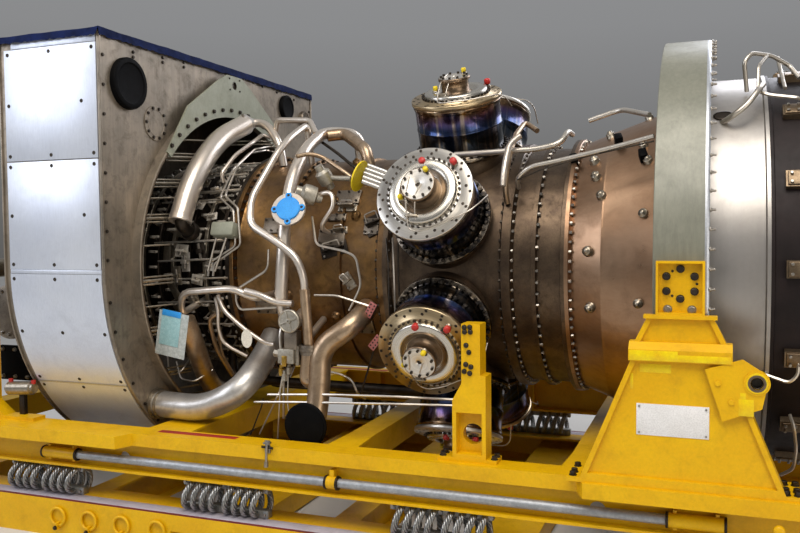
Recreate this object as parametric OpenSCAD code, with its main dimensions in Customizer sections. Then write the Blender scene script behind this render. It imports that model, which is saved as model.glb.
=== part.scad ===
// Gas turbine on its transport stand. Millimetres, +X from inlet to exhaust, +Z up,
// origin on the floor under the middle of the stand.

/* [Stand frame] */
// Overall length of the stand
stand_l = 5700; // [5560:20:6000]
// Overall width over the outer ledges
stand_w = 2670; // [2650:5:2700]
// Height of the lower base rails
base_h = 218; // [200:2:240]
// Width of each lower base rail
base_rail_w = 260; // [230:5:280]
// Width over the two lower base rails
base_w = 2600; // [2580:5:2620]
// Plate thickness of the rails
rail_t = 14; // [10:1:18]
// Height of the upper rails
rail_h = 235; // [220:5:250]
// Width over the lips of the upper rails
rail_over = 2480; // [2460:5:2500]
// Depth of each upper rail, front to back
rail_w = 150; // [130:5:170]
// Height of the lip and of the ledges
lip_h = 72; // [60:2:90]
// Depth of the rail web behind the lip
web_inset = 50; // [40:2:60]
// Distance from the middle of the stand to the end of each ledge
ledge_start = 1255; // [1200:5:1260]

// Distance from the middle of the stand to the inner base cross members
base_beam_x = 1640; // [1500:10:1700]
// Width of the cross members
beam_w = 150; // [120:5:180]
// Height of the upper cross members
beam_h = 150; // [120:5:180]
// Distance from the middle of the stand to the wide front cross member
front_beam_x = 1100; // [1050:10:1150]
// Width of the wide front cross member
front_beam_w = 266; // [240:2:290]
// Distance from the middle of the stand to the rear cross member
rear_beam_x = 1250; // [1200:10:1300]
// Length of the flared corner plates on the upper cross members
flare_l = 260; // [200:10:300]
// Spread of the corner plates past each side of their beam
flare_w = 14; // [8:1:20]

/* [Fork pockets] */
// Distance from the middle of the stand to each pocket's centre
pocket_x = 790; // [700:10:900]
// Clear width of a pocket
pocket_w = 340; // [300:10:400]
// Clear height of a pocket
pocket_h = 100; // [90:2:120]
// Wall of the pocket tunnels
pocket_t = 10; // [6:1:14]

/* [Isolators] */
// Height of a wire rope isolator
iso_h = 181; // [160:1:200]
// Length of its retainer bars
iso_l = 540; // [520:10:580]
// Distance between isolator centres
iso_pitch = 1250; // [1150:10:1270]
// Distance that the isolators stand towards the front
iso_shift = 50; // [0:5:60]
// Height of a retainer bar
bar_h = 44; // [42:1:50]
// Width of a retainer bar
bar_w = 44; // [36:1:60]
// Diameter of the wire rope
rope_d = 36; // [26:1:38]
// Distance between loops
loop_pitch = 58; // [50:1:60]
// Distance between the two loops beside an isolator's middle
loop_gap = 87; // [80:1:95]
// Slant of the loops, degrees
loop_slant = 14; // [0:1:20]

/* [Side fittings] */
// Outer diameter of the side tubes
tube_d = 48; // [42:1:52]
// Distance from the middle to each end of a side tube
tube_end = 1810; // [1700:10:1840]
// Wall of the tube sleeves
sleeve_t = 9; // [6:1:12]
// Length of an end sleeve
sleeve_l = 235; // [200:5:260]
// Diameter of the holes in the rails' webs
web_hole_d = 76; // [60:2:84]
// Length of a saddle sleeve
saddle_l = 62; // [40:2:100]
// Height of the tube's axis over the bottom of the upper rail
tube_rise = 74; // [60:1:90]
// Outer diameter of a lashing ring
lash_d = 120; // [100:2:140]
// Wire of a lashing ring
lash_wire = 17; // [12:1:20]

/* [Supports] */
// Width of the front supports
leg_w = 260; // [240:5:290]
// Width of a middle support's foot
middle_foot_w = 170; // [150:5:190]
// Width of a middle support's head
middle_head_w = 95; // [85:5:110]
// Height of a middle support's head
middle_head_h = 255; // [230:5:270]

/* [Towers] */
// Width of a tower at its foot
tower_w = 852; // [800:4:900]
// Width of a tower under its collar
neck_w = 410; // [380:5:440]
// Depth of a tower, front to back
tower_d = 170; // [150:5:180]
// Height of the tower's foot plate
foot_t = 20; // [14:1:26]
// Height from the tower's top down to the bottom of its collar
collar_drop = 200; // [190:2:230]
// Height of the collar
collar_h = 80; // [70:1:90]
// Height of the collar's upright face
collar_face = 50; // [40:1:60]
// How far the part over the collar stands back
upper_inset = 22; // [10:1:28]
// Width of the collar
collar_w = 426; // [412:2:450]
// Width of the cap plate
cap_w = 304; // [290:2:330]
// Height of the cap plate
cap_t = 16; // [10:1:20]
// Height of a trunnion bracket
bracket_h = 235; // [220:5:250]
// Height of the brackets' tops over the engine axis
bracket_rise = 80; // [60:2:100]
// Width of a trunnion bracket
bracket_w = 202; // [190:2:220]
// Wall of a trunnion bracket
bracket_t = 10; // [8:1:14]
// Depth of the bracket's open front
bracket_pocket = 34; // [24:1:38]
// Thickness of a lifting lug
lug_t = 15; // [10:1:15]
// Bore of a lifting eye
eye_d = 50; // [40:1:60]
// Outer diameter of the lifting eye's boss
eye_boss_d = 104; // [90:1:120]
// Length of the lifting eye's boss
eye_l = 45; // [30:1:60]

/* [Engine] */
// Height of the engine's axis
axis_h = 1555; // [1540:5:1580]
// Where the inlet plenum's front face stands
plenum_x0 = -2098; // [-2120:2:-2080]
// Length of the inlet plenum
plenum_l = 728; // [700:4:750]
// Width of the inlet plenum
plenum_w = 2600; // [2560:10:2620]
// Height of the plenum's top over the axis
plenum_rise = 1352; // [1320:4:1380]
// Thickness of the plenum's end plates
plate_t = 10; // [8:1:14]
// Radius of the round opening in the plenum's rear plate
opening_r = 1040; // [1020:5:1060]
// How far the opening's rim stands out
rim_l = 58; // [40:2:60]
// Thickness of the side panels
panel_t = 10; // [6:1:12]
// Gap between side panels
panel_gap = 6; // [4:1:10]
// Gap between the flat and the rolled panels at the axis
joint_gap = 24; // [16:1:30]
// Width of the handling plate
handling_w = 1570; // [1500:10:1640]
// Height of the handling plate's top over the axis
handling_rise = 1300; // [1260:10:1320]
// Radius of the handling plate's inner edge
handling_r = 1012; // [1000:2:1030]
// Thickness of the handling plate
handling_t = 12; // [8:1:16]
// Overhang of the top cover
cover_over = 22; // [16:1:30]
// Length of the inlet case in front of the plenum
inlet_l = 640; // [560:10:660]
// Length of the compressor case behind the plenum's front plate
comp_l = 1173; // [1160:1:1180]
// Radius of the compressor case
comp_r = 575; // [550:5:590]
// Inner radius of the vane rings
vane_r = 655; // [640:5:670]
// Number of vane rings
vane_rows = 6; // [4:1:7]
// Distance between vane rings
vane_pitch = 118; // [100:1:122]
// Length of the middle case
mid_l = 1001; // [980:1:1020]
// Radius of the middle case
mid_r = 676; // [660:2:690]
// Length of the combustion case
comb_l = 714; // [690:2:740]
// Radius of the combustion case
comb_r = 704; // [690:2:715]
// Length of the turbine case
turb_l = 313; // [290:1:330]
// Radius where the turbine cone starts
cone_r0 = 723; // [700:1:740]
// Radius where the turbine cone ends
cone_r1 = 930; // [910:1:940]
// Length of the turbine cone
cone_l = 588; // [560:2:610]

/* [Combustor cans] */
// Number of cans
can_count = 8; // [6:1:8]
// Radius of a can's body
can_r = 248; // [235:1:252]
// Radius of a can's end flange
can_flange_r = 262; // [240:1:270]
// Radius of a can's foot flange
can_foot_r = 278; // [270:1:282]
// Distance from the engine's axis to a can's outer face
can_reach = 1083; // [1060:1:1100]
// Distance from the engine's axis to a can's foot
can_seat = 745; // [740:1:760]
// Thickness of the can flanges
can_flange_t = 25; // [18:1:32]
// Radius of the raised ring on a can's cover
cover_ring_r = 180; // [170:1:190]
// Radius of the boss on a can's cover
cover_boss_r = 92; // [80:1:100]
// Height of the boss on a can's cover
cover_boss_h = 110; // [90:2:120]

/* [Exhaust end] */
// Gap between the towers' faces and the mount ring
ring_gap = 64; // [58:1:70]
// Width of the mount ring
ring_w = 236; // [220:2:250]
// Thickness of the mount ring
ring_t = 14; // [10:1:20]
// Outer radius of the exhaust case
exhaust_r = 1035; // [1020:1:1050]
// Distance from the ring's web to the end of the exhaust case
exhaust_l = 365; // [350:5:380]
// Length of the dark rear frame
frame_l = 413; // [390:1:430]
// Number of struts in the rear frame
strut_count = 8; // [6:1:10]
// Radius of the rear hub
hub_r = 420; // [380:5:440]

/* [Pipes] */
// Diameter of the upper bleed duct
bleed_d = 124; // [100:2:140]
// Diameter of the lower bleed duct
lower_bleed_d = 160; // [130:2:180]
// Diameter of the crossover duct
crossover_d = 114; // [90:2:130]
// Diameter of the manifold pipe
manifold_d = 76; // [60:2:90]
// Diameter of the service pipes
service_d = 44; // [30:1:50]

/* [Hidden] */
$fn = 72;

yellow = [0.94, 0.68, 0.02];
steel = [0.62, 0.6, 0.57];
bronze = [0.45, 0.34, 0.24];
clearance = 0.3;

// Levels of the stand
rail_z = base_h + iso_h;
deck_z = rail_z + rail_h;
tower_z = axis_h + bracket_rise - bracket_h;
base_half = base_w / 2;
rail_half = rail_over / 2;
web_y = rail_half - web_inset;
rail_in = rail_half - rail_w;
outer_y = stand_w / 2;
tower_y = outer_y - lug_t;

// Stations along the engine
plenum_x1 = plenum_x0 + plenum_l;
rim_x = plenum_x1 + rim_l;
comp_x1 = plenum_x0 + comp_l + plate_t;
mid_x1 = comp_x1 + mid_l;
comb_x1 = mid_x1 + comb_l;
turb_x1 = comb_x1 + turb_l;
web_x = turb_x1 + cone_l;
web_t = 16;
ring_r = tower_y - ring_gap;
ring_x0 = web_x + web_t - ring_w / 2 - 10;
ring_x1 = ring_x0 + ring_w;
ring_mid = ring_x0 + ring_w / 2;
exhaust_x1 = web_x + web_t + exhaust_l;
frame_x1 = exhaust_x1 + frame_l;
can_x = (mid_x1 + comb_x1) / 2 - 6;
iso_y = rail_half - rail_w / 2;
plenum_half = plenum_w / 2;
wrap_half = plenum_half - panel_t;
plenum_top = axis_h + plenum_rise;

// Repeats a near-side shape on the far side
module both_sides() {
    children();
    mirror([0, 1, 0]) children();
}

// Repeats a shape at both ends of the stand
module both_ends() {
    children();
    mirror([1, 0, 0]) children();
}

// A bar along X from x0 to x1, with its outline in [y, z]
module bar_x(x0, x1, outline) {
    translate([x0, 0, 0])
        rotate([90, 0, 90])
            linear_extrude(x1 - x0)
                polygon(outline);
}

// A plate along Y from y0 to y1, with its outline in [x, z]
module plate_y(y0, y1, outline) {
    translate([0, y1, 0])
        rotate([90, 0, 0])
            linear_extrude(y1 - y0)
                polygon(outline);
}

// A body turned about the engine's axis, with its outline in [radius, x]
module turned(outline, sweep = 360, from = 0) {
    translate([0, 0, axis_h])
        rotate([0, 90, 0])
            rotate([0, 0, from])
                rotate_extrude(angle = sweep, $fn = 144)
                    polygon(outline);
}

// A plain disc or drum on the engine's axis
module drum(r, x0, x1) {
    translate([x0, 0, axis_h])
        rotate([0, 90, 0])
            cylinder(r = r, h = x1 - x0, $fn = 144);
}

// Places a shape made along +Z so that it points out from the engine's axis
module radial(x, angle, reach) {
    translate([x, 0, axis_h])
        rotate([angle, 0, 0])
            translate([0, 0, reach])
                children();
}

// C section with its web at the first coordinate and flanges of width w
function c_section(y, w, h, t) = [
    [y, 0], [y + w, 0], [y + w, t], [y + t, t], [y + t, h - t], [y + w, h - t], [y + w, h], [y, h]
];

// I section centred on x, from z0 to z1
function i_section(x, w, z0, z1, t) = [
    [x - w / 2, z0], [x + w / 2, z0], [x + w / 2, z0 + t], [x + t / 2, z0 + t],
    [x + t / 2, z1 - t], [x + w / 2, z1 - t], [x + w / 2, z1], [x - w / 2, z1],
    [x - w / 2, z1 - t], [x - t / 2, z1 - t], [x - t / 2, z0 + t], [x - w / 2, z0 + t]
];

// Symmetric taper from width w0 at z0 to width w1 at z1, centred on x
function taper(x, w0, z0, w1, z1) = [
    [x - w0 / 2, z0], [x + w0 / 2, z0], [x + w1 / 2, z1], [x - w1 / 2, z1]
];

// Sweeps: a route through round points with rounded corners, then a tube along it
bend_steps = 4;
tube_sides = 12;
function unit(v) = v / norm(v);
function corner(p, q, r, b) =
    let (d = min(b, 0.48 * norm(p - q), 0.48 * norm(r - q)))
    let (a = q + unit(p - q) * d, c = q + unit(r - q) * d)
    [for (k = [0:bend_steps]) let (t = k / bend_steps)
        (1 - t) * (1 - t) * a + 2 * t * (1 - t) * q + t * t * c];
function route(pts, b) = concat(
    [pts[0]],
    [for (i = [1:len(pts) - 2]) each corner(pts[i - 1], pts[i], pts[i + 1], b)],
    [pts[len(pts) - 1]]
);
function heading(path, i) =
    unit(path[min(i + 1, len(path) - 1)] - path[max(i - 1, 0)]);
function carried(v, t) = unit(v - (v * t) * t);
function normals(path, i, v) =
    i == len(path) ? [] : let (n = carried(v, heading(path, i)))
        concat([n], normals(path, i + 1, n));
module pipe(pts, d, b, lead = [0.3, 0.2, 0.93]) {
    path = route(pts, b);
    side = normals(path, 0, lead);
    last = len(path) - 1;
    rings = [for (i = [0:last]) for (k = [0:tube_sides - 1])
        let (t = heading(path, i), n = side[i], w = cross(t, n), a = 360 * k / tube_sides)
        path[i] + d / 2 * (cos(a) * n + sin(a) * w)];
    walls = [for (i = [0:last - 1]) for (k = [0:tube_sides - 1])
        let (j = (k + 1) % tube_sides)
        [i * tube_sides + k, (i + 1) * tube_sides + k,
            (i + 1) * tube_sides + j, i * tube_sides + j]];
    start = [for (k = [0:tube_sides - 1]) k];
    end = [for (k = [tube_sides - 1:-1:0]) last * tube_sides + k];
    polyhedron(rings, concat([start], walls, [end]), convexity = 8);
}

// A point at radius r and angle a over the horizontal, near side
function around(x, r, a) = [x, -r * cos(a), axis_h + r * sin(a)];

module base_rails() {
    color(yellow) both_sides() difference() {
        bar_x(-stand_l / 2, stand_l / 2, c_section(-base_half, base_rail_w, base_h, rail_t));
        both_ends() translate([pocket_x - pocket_w / 2, -base_half - 1, rail_t + pocket_t])
            cube([pocket_w, rail_t + 2, pocket_h]);
    }
}

// Cross members stand between the flange tips of the base rails
module base_cross_members() {
    y = base_half - base_rail_w;
    end_x = (stand_l - beam_w) / 2;
    color(yellow) for (x = [-end_x, -base_beam_x, 0, base_beam_x, end_x])
        plate_y(-y, y, i_section(x, beam_w, 0, base_h, rail_t));
}

module fork_tunnels() {
    y = base_half - rail_t;
    w = pocket_w + 2 * pocket_t;
    color(yellow) both_ends() difference() {
        translate([pocket_x - w / 2, -y, rail_t])
            cube([w, 2 * y, pocket_h + 2 * pocket_t]);
        translate([pocket_x - pocket_w / 2, -y - 1, rail_t + pocket_t])
            cube([pocket_w, 2 * y + 2, pocket_h]);
    }
}

// Half loop of rope that leaves a bar's side face square to it and leans along X
module half_loop(loop_r) {
    rotate([0, loop_slant, 0])
        rotate([0, 90, 0])
            rotate([0, 0, 180])
                rotate_extrude(angle = 180, $fn = 48)
                    translate([loop_r / cos(loop_slant), 0])
                        circle(d = rope_d, $fn = 24);
}

// Two groups of four loops, each clamped between two retainer bars
module isolator() {
    loop_r = (iso_h - bar_h) / 2;
    for (z = [0, iso_h - bar_h])
        translate([-iso_l / 2, -bar_w / 2, z])
            cube([iso_l, bar_w, bar_h]);
    for (group = [-1, 1]) for (i = [-1.5:1:1.5]) for (side = [0, 180])
        translate([group * (loop_gap + 3 * loop_pitch) / 2 + i * loop_pitch, 0, iso_h / 2])
            rotate([0, 0, side])
                translate([0, -bar_w / 2, 0])
                    half_loop(loop_r);
}

module isolator_row() {
    color([0.36, 0.36, 0.36]) for (i = [-1.5:1:1.5])
        translate([i * iso_pitch - iso_shift, -iso_y, base_h])
            isolator();
}

module isolators_near() {
    isolator_row();
}

module isolators_far() {
    mirror([0, 1, 0]) isolator_row();
}

// Rail with a lip turned down at its outer edge and its web set back behind the lip
module upper_rail() {
    t = rail_t;
    bar_x(-stand_l / 2, stand_l / 2, [
        [-rail_half, rail_z], [-rail_in, rail_z], [-rail_in, rail_z + t], [-web_y + t, rail_z + t],
        [-web_y + t, deck_z - t], [-rail_in, deck_z - t], [-rail_in, deck_z], [-rail_half, deck_z],
        [-rail_half, deck_z - lip_h], [-rail_half + t, deck_z - lip_h],
        [-rail_half + t, deck_z - t], [-web_y, deck_z - t], [-web_y, rail_z + t],
        [-rail_half, rail_z + t]
    ]);
    for (i = [-1.5:1:1.5])
        translate([i * iso_pitch - iso_shift - t / 2, -web_y + t, rail_z + t])
            cube([t, web_y - rail_in - t, rail_h - 2 * t]);
}

// Ledge outside the lip, open underneath, with a slanted end
module ledge() {
    t = rail_t;
    end = stand_l / 2;
    cut = 40;
    difference() {
        translate([0, 0, deck_z - lip_h])
            linear_extrude(lip_h)
                polygon([[ledge_start, -rail_half], [ledge_start + cut, -outer_y],
                    [end, -outer_y], [end, -rail_half]]);
        translate([0, 0, deck_z - lip_h - 1])
            linear_extrude(lip_h - t + 1)
                polygon([[ledge_start + t, -rail_half - 1], [ledge_start + cut + t, -outer_y + t],
                    [end - t, -outer_y + t], [end - t, -rail_half - 1]]);
    }
}

module upper_rails() {
    color(yellow) both_sides() difference() {
        union() {
            upper_rail();
            both_ends() ledge();
        }
        both_ends() translate([ledge_start + 90, -web_y + rail_t + 1, rail_z + tube_rise - 2])
            rotate([90, 0, 0])
                cylinder(d = web_hole_d, h = rail_t + 2);
    }
}

// Box beams between the upper rails, with flared top plates
module upper_cross_members() {
    end_x = (stand_l - beam_w) / 2 - 15;
    z = deck_z - beam_h;
    for (m = [[-end_x, beam_w], [-front_beam_x, front_beam_w], [0, beam_w], [rear_beam_x, beam_w],
            [end_x, beam_w]]) {
        x = m[0];
        w = m[1];
        color(yellow) difference() {
            union() {
                translate([x - w / 2, -rail_in, z])
                    cube([w, 2 * rail_in, beam_h]);
                both_sides() translate([0, 0, deck_z - rail_t])
                    linear_extrude(rail_t)
                        polygon([[x - w / 2 - flare_w, -rail_in], [x + w / 2 + flare_w, -rail_in],
                            [x + w / 2, -rail_in + flare_l], [x - w / 2, -rail_in + flare_l]]);
            }
            translate([x - w / 2 + rail_t, -rail_in - 1, z + rail_t])
                cube([w - 2 * rail_t, 2 * rail_in + 2, beam_h - 2 * rail_t]);
        }
    }
}

// Rings hang in bored lugs on the outside of the base rails
module lashing_rings() {
    r = (lash_d - lash_wire) / 2;
    half = lash_wire / 2;
    color(yellow) both_sides() both_ends() for (x = [1045, 1285, 1515, 1740])
        translate([x, -base_half, 120]) {
            translate([0, -half - 3, 0])
                rotate([90, 0, 0])
                    rotate_extrude($fn = 48)
                        translate([r, 0])
                            circle(d = lash_wire, $fn = 24);
            difference() {
                translate([-10, -2 * half - 14, -r - 20])
                    cube([20, 2 * half + 14, 38]);
                translate([-11, -half - 3, -r])
                    rotate([0, 90, 0])
                        cylinder(r = half + 2, h = 22);
            }
        }
}

module side_tubes() {
    color([0.7, 0.71, 0.71]) both_sides()
        translate([-tube_end, -web_y - tube_d / 2 - 12, rail_z + tube_rise])
            rotate([0, 90, 0])
                cylinder(d = tube_d, h = 2 * tube_end);
}

// Sleeves round the side tubes, each on plates that stand on the rail's web
module tube_brackets() {
    y = web_y + tube_d / 2 + 12;
    z = rail_z + tube_rise;
    sleeve_d = tube_d + 2 * sleeve_t;
    color(yellow) both_sides() difference() {
        union() {
            both_ends() {
                translate([tube_end + 85 - sleeve_l, -y, z])
                    rotate([0, 90, 0])
                        cylinder(d = sleeve_d, h = sleeve_l);
                for (x = [tube_end + 105 - sleeve_l, tube_end + 49])
                    translate([x, -y, z - 45])
                        cube([16, y - web_y, 90]);
            }
            translate([-saddle_l / 2, -y, z])
                rotate([0, 90, 0])
                    cylinder(d = sleeve_d, h = saddle_l);
            translate([-12, -y - 8, z])
                cube([24, y + 8 - web_y, 66]);
        }
        translate([-tube_end - 1, -y, z])
            rotate([0, 90, 0])
                cylinder(d = tube_d + 2 * clearance, h = 2 * tube_end + 2);
    }
}

// Leaning legs that carry the inlet case on two short trunnions
front_x = plenum_x0 - 402;
front_y = 1110;
case_seat = 640;
module front_supports() {
    y0 = -front_y - 70;
    y1 = -front_y + 20;
    z0 = deck_z + foot_t;
    leg_edge = 28;
    color(yellow) both_sides() union() {
        translate([front_x - leg_w / 2 - 20, -rail_half + 50, deck_z])
            cube([leg_w / 2 + 498, rail_w - 50, foot_t]);
        difference() {
            plate_y(y0, y1, [[front_x - leg_w / 2, z0], [front_x + leg_w / 2 + 110, z0],
                [front_x + leg_w / 2, z0 + 80], [front_x + leg_w / 2, axis_h], [front_x - leg_w / 2, axis_h]]);
            plate_y(y0 - 1, y0 + 30, [[front_x - leg_w / 2 + leg_edge, z0 + leg_edge],
                [front_x + leg_w / 2 - leg_edge, z0 + leg_edge],
                [front_x + leg_w / 2 - leg_edge, axis_h - leg_w / 2],
                [front_x - leg_w / 2 + leg_edge, axis_h - leg_w / 2]]);
        }
        translate([front_x, y1, axis_h])
            rotate([90, 0, 0])
                cylinder(d = leg_w, h = y1 - y0);
    }
}

module front_trunnions() {
    y1 = -front_y + 20;
    color(steel) both_sides() translate([front_x, -case_seat, axis_h])
        rotate([90, 0, 0])
            rotate_extrude()
                polygon([[0, 0], [105, 0], [105, 30], [60, 42], [60, -y1 - case_seat], [0, -y1 - case_seat]]);
}

// Narrow head on a boxed foot, with a window and bolt plates at its base
support_x = comb_x1 - 74;
module middle_supports() {
    y0 = -rail_half + 50;
    y1 = -rail_in + 10;
    z0 = deck_z + foot_t;
    z1 = axis_h - 236;
    x0 = support_x - middle_foot_w / 2;
    x1 = support_x + middle_foot_w / 2;
    edge = 20;
    color(yellow) both_sides() union() {
        translate([x0 - 77, y0, deck_z])
            cube([middle_foot_w + 130, y1 - y0, foot_t]);
        difference() {
            plate_y(y0, y1, [[x0, z0], [x1, z0], [x1, z1 - middle_head_h], [x1 - 27, z1 - middle_head_h + 4],
                [x1 - 27, z1], [x1 - 27 - middle_head_w, z1], [x1 - 27 - middle_head_w, z1 - middle_head_h - 40],
                [x0, z1 - middle_head_h - 125]]);
            plate_y(y0 - 1, y0 + 60, [[x0 + edge, z0 + edge], [x1 - edge, z0 + edge],
                [x1 - edge, z1 - middle_head_h - 184], [x0 + edge, z1 - middle_head_h - 184]]);
            translate([support_x + 5, y1 + 1, z0 + 110])
                rotate([90, 0, 0])
                    cylinder(r = 52, h = y1 - y0 + 2);
        }
    }
}

// Tapered towers with flanged edges, a collar and a cap, relieved behind for the mount ring
module trunnion_towers() {
    z0 = deck_z + foot_t;
    neck_z = tower_z - collar_drop;
    collar_top = neck_z + collar_h;
    y1 = -tower_y + tower_d;
    upper_y = -tower_y + upper_inset;
    upper_w = collar_w - 46;
    flange = 24;
    recess = 16;
    color(yellow) both_sides() difference() {
        union() {
            translate([ring_mid - tower_w / 2 - 60, -tower_y, deck_z])
                cube([tower_w + 120, tower_y - rail_in, foot_t]);
            plate_y(-tower_y, y1, taper(ring_mid, tower_w, z0, neck_w, neck_z));
            bar_x(ring_mid - collar_w / 2, ring_mid + collar_w / 2, [[-outer_y, neck_z],
                [-outer_y, neck_z + collar_face], [upper_y, collar_top], [y1, collar_top], [y1, neck_z]]);
            plate_y(upper_y, y1, taper(ring_mid, upper_w, collar_top, cap_w - 24, tower_z - cap_t));
            translate([ring_mid - cap_w / 2, upper_y - 12, tower_z - cap_t])
                cube([cap_w, tower_d - upper_inset + 12, cap_t]);
        }
        plate_y(-tower_y - 1, -tower_y + recess,
            taper(ring_mid, tower_w - 2 * flange - 20, z0 + flange, neck_w - 2 * flange, neck_z));
        plate_y(upper_y - 1, upper_y + recess,
            taper(ring_mid, upper_w - 2 * flange, collar_top, cap_w - 24 - 2 * flange, tower_z - cap_t));
        drum(ring_r + 12, ring_mid - tower_w, ring_mid + tower_w);
    }
}

// Slanted lug on each tower's face, with the lifting eye at its outer corner
eye_x = ring_mid + 308;
eye_z = tower_z - 274;
module lifting_lugs() {
    x0 = ring_mid;
    z0 = tower_z;
    color(yellow) both_sides() difference() {
        union() {
            plate_y(-outer_y + 5, -tower_y, [[x0 + 103, z0 - 225], [x0 + 253, z0 - 176],
                [x0 + 345, z0 - 236], [x0 + 356, z0 - 249], [x0 + 329, z0 - 382],
                [x0 + 174, z0 - 444]]);
            translate([eye_x, -outer_y + eye_l, eye_z])
                rotate([90, 0, 0])
                    cylinder(d = eye_boss_d, h = eye_l);
        }
        translate([eye_x, -outer_y + eye_l + 1, eye_z])
            rotate([90, 0, 0])
                cylinder(d = eye_d, h = eye_l + 2);
    }
}

// Open-fronted boxes that seat on the towers and hold the mount ring
module trunnion_brackets() {
    y0 = -tower_y + 14;
    x0 = ring_mid - bracket_w / 2;
    color(yellow) both_sides() difference() {
        translate([x0, y0, tower_z])
            cube([bracket_w, ring_gap + 46, bracket_h]);
        translate([x0 + bracket_t, y0 - 1, tower_z + bracket_t])
            cube([bracket_w - 2 * bracket_t, bracket_pocket + 1, bracket_h - 2 * bracket_t]);
        drum(ring_r + clearance, x0 - 1, x0 + bracket_w + 1);
    }
}

// Band with a rolled lip, on a web that the exhaust casings bolt to
module mount_ring() {
    color([0.52, 0.55, 0.5]) union() {
        turned([[cone_r1 - 40, web_x], [ring_r - ring_t, web_x], [ring_r - ring_t, ring_x0],
            [ring_r, ring_x0], [ring_r, ring_x1 - 16], [ring_r - 4, ring_x1], [ring_r - ring_t, ring_x1],
            [ring_r - ring_t, web_x + web_t], [cone_r1 - 40, web_x + web_t]]);
    }
}

// Plenum outline: straight sides from the axis up, a half round below
module plenum_slab(x0, x1, half, top) {
    union() {
        translate([x0, -half, axis_h])
            cube([x1 - x0, 2 * half, top - axis_h]);
        turned([[0, x0], [half, x0], [half, x1], [0, x1]], 180, -90);
    }
}

module plenum_front_plate() {
    color(steel) difference() {
        plenum_slab(plenum_x0, plenum_x0 + plate_t, plenum_half, plenum_top);
        drum(comp_r - 15, plenum_x0 - 1, plenum_x0 + plate_t + 1);
    }
}

module plenum_wrap() {
    x0 = plenum_x0 + plate_t;
    x1 = plenum_x1 - plate_t;
    color(steel) difference() {
        plenum_slab(x0, x1, wrap_half, plenum_top);
        plenum_slab(x0 - 1, x1 + 1, wrap_half - plate_t, plenum_top + 1);
    }
}

module plenum_rear_plate() {
    x0 = plenum_x1 - plate_t;
    color([0.5, 0.47, 0.42]) difference() {
        union() {
            plenum_slab(x0, plenum_x1, plenum_half, plenum_top);
            drum(opening_r + 16, x0, rim_x);
        }
        drum(opening_r, x0 - 1, rim_x + 1);
    }
}

// Bright panels down both sides: two flat ones over the axis, two curved ones under it
module side_panels() {
    x0 = plenum_x0 + plate_t + 35;
    x1 = plenum_x1 - plate_t - 8;
    seam_z = axis_h + 641;
    top_z = plenum_top - 63;
    seam_a = 31.7;
    gap_a = panel_gap / plenum_half * 57.3;
    joint_a = joint_gap / 2 / plenum_half * 57.3;
    color([0.8, 0.81, 0.83]) both_sides() {
        for (z = [[axis_h + joint_gap / 2, seam_z - panel_gap / 2],
                [seam_z + panel_gap / 2, top_z]])
            translate([x0, -plenum_half, z[0]])
                cube([x1 - x0, panel_t, z[1] - z[0]]);
        for (a = [[joint_a, seam_a], [seam_a, 75]])
            turned([[wrap_half, x0], [plenum_half, x0], [plenum_half, x1], [wrap_half, x1]],
                a[1] - a[0] - gap_a, -90 + a[0] + gap_a / 2);
    }
}

// Closed cap that stands in for the sheet stretched over the plenum's top
module top_cover() {
    gap = clearance;
    hang = 22;
    color([0.08, 0.1, 0.22]) difference() {
        translate([plenum_x0 - cover_over, -plenum_half - cover_over, plenum_top - hang])
            cube([plenum_l + 2 * cover_over, plenum_w + 2 * cover_over, hang + 24]);
        translate([plenum_x0 - gap, -plenum_half - gap, plenum_top - hang - 1])
            cube([plenum_l + 2 * gap, plenum_w + 2 * gap, hang + 1 + gap]);
    }
}

// Lifting plate across the top of the opening, seated on its rim
module handling_plate() {
    y = handling_w / 2;
    z = handling_rise;
    end_z = 0.55 * z;
    tip = 52;
    color([0.55, 0.56, 0.5]) difference() {
        bar_x(rim_x, rim_x + handling_t, [for (p = [[-0.117, 1], [-0.261, 0.958], [-0.713, 0.788], [-1, 0.55]])
            [p[0] * y, axis_h + p[1] * z], [-y + tip, axis_h + end_z - 0.77 * tip],
            [y - tip, axis_h + end_z - 0.77 * tip],
            for (p = [[1, 0.55], [0.713, 0.788], [0.261, 0.958], [0.117, 1]]) [p[0] * y, axis_h + p[1] * z]]);
        drum(handling_r, rim_x - 1, rim_x + handling_t + 1);
        translate([rim_x - 1, 0, axis_h + 0.95 * z])
            rotate([0, 90, 0])
                cylinder(r = 0.02 * z, h = handling_t + 2);
    }
}

// Blanking covers on the plenum's rear face
module round_blanks() {
    for (b = [[-1060, 1090, 150, 34], [-805, 890, 108, 6], [850, 1200, 98, 34], [1150, 1150, 62, 40]])
        color([0.07, 0.07, 0.07]) translate([plenum_x1, b[0], axis_h + b[1]])
            rotate([0, 90, 0])
                cylinder(r = b[2], h = b[3]);
}

// Inlet case with a seat on each side for the front trunnions
module inlet_case() {
    x1 = plenum_x0;
    x0 = x1 - inlet_l;
    color(steel) union() {
        turned([[0, x0 - 60], [90, x0 - 60], [90, x0], [300, x0], [300, x0 + 24],
            [260, x0 + 24], [330, x0 + 150], [520, x0 + 210], [540, x0 + 210], [540, x0 + 234],
            [520, x0 + 234], [560, x0 + 420], [600, x1 - 24], [650, x1 - 24], [650, x1], [0, x1]]);
        both_sides() translate([front_x, -case_seat, axis_h])
            rotate([-90, 0, 0])
                cylinder(r = 120, h = 260);
    }
}

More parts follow.
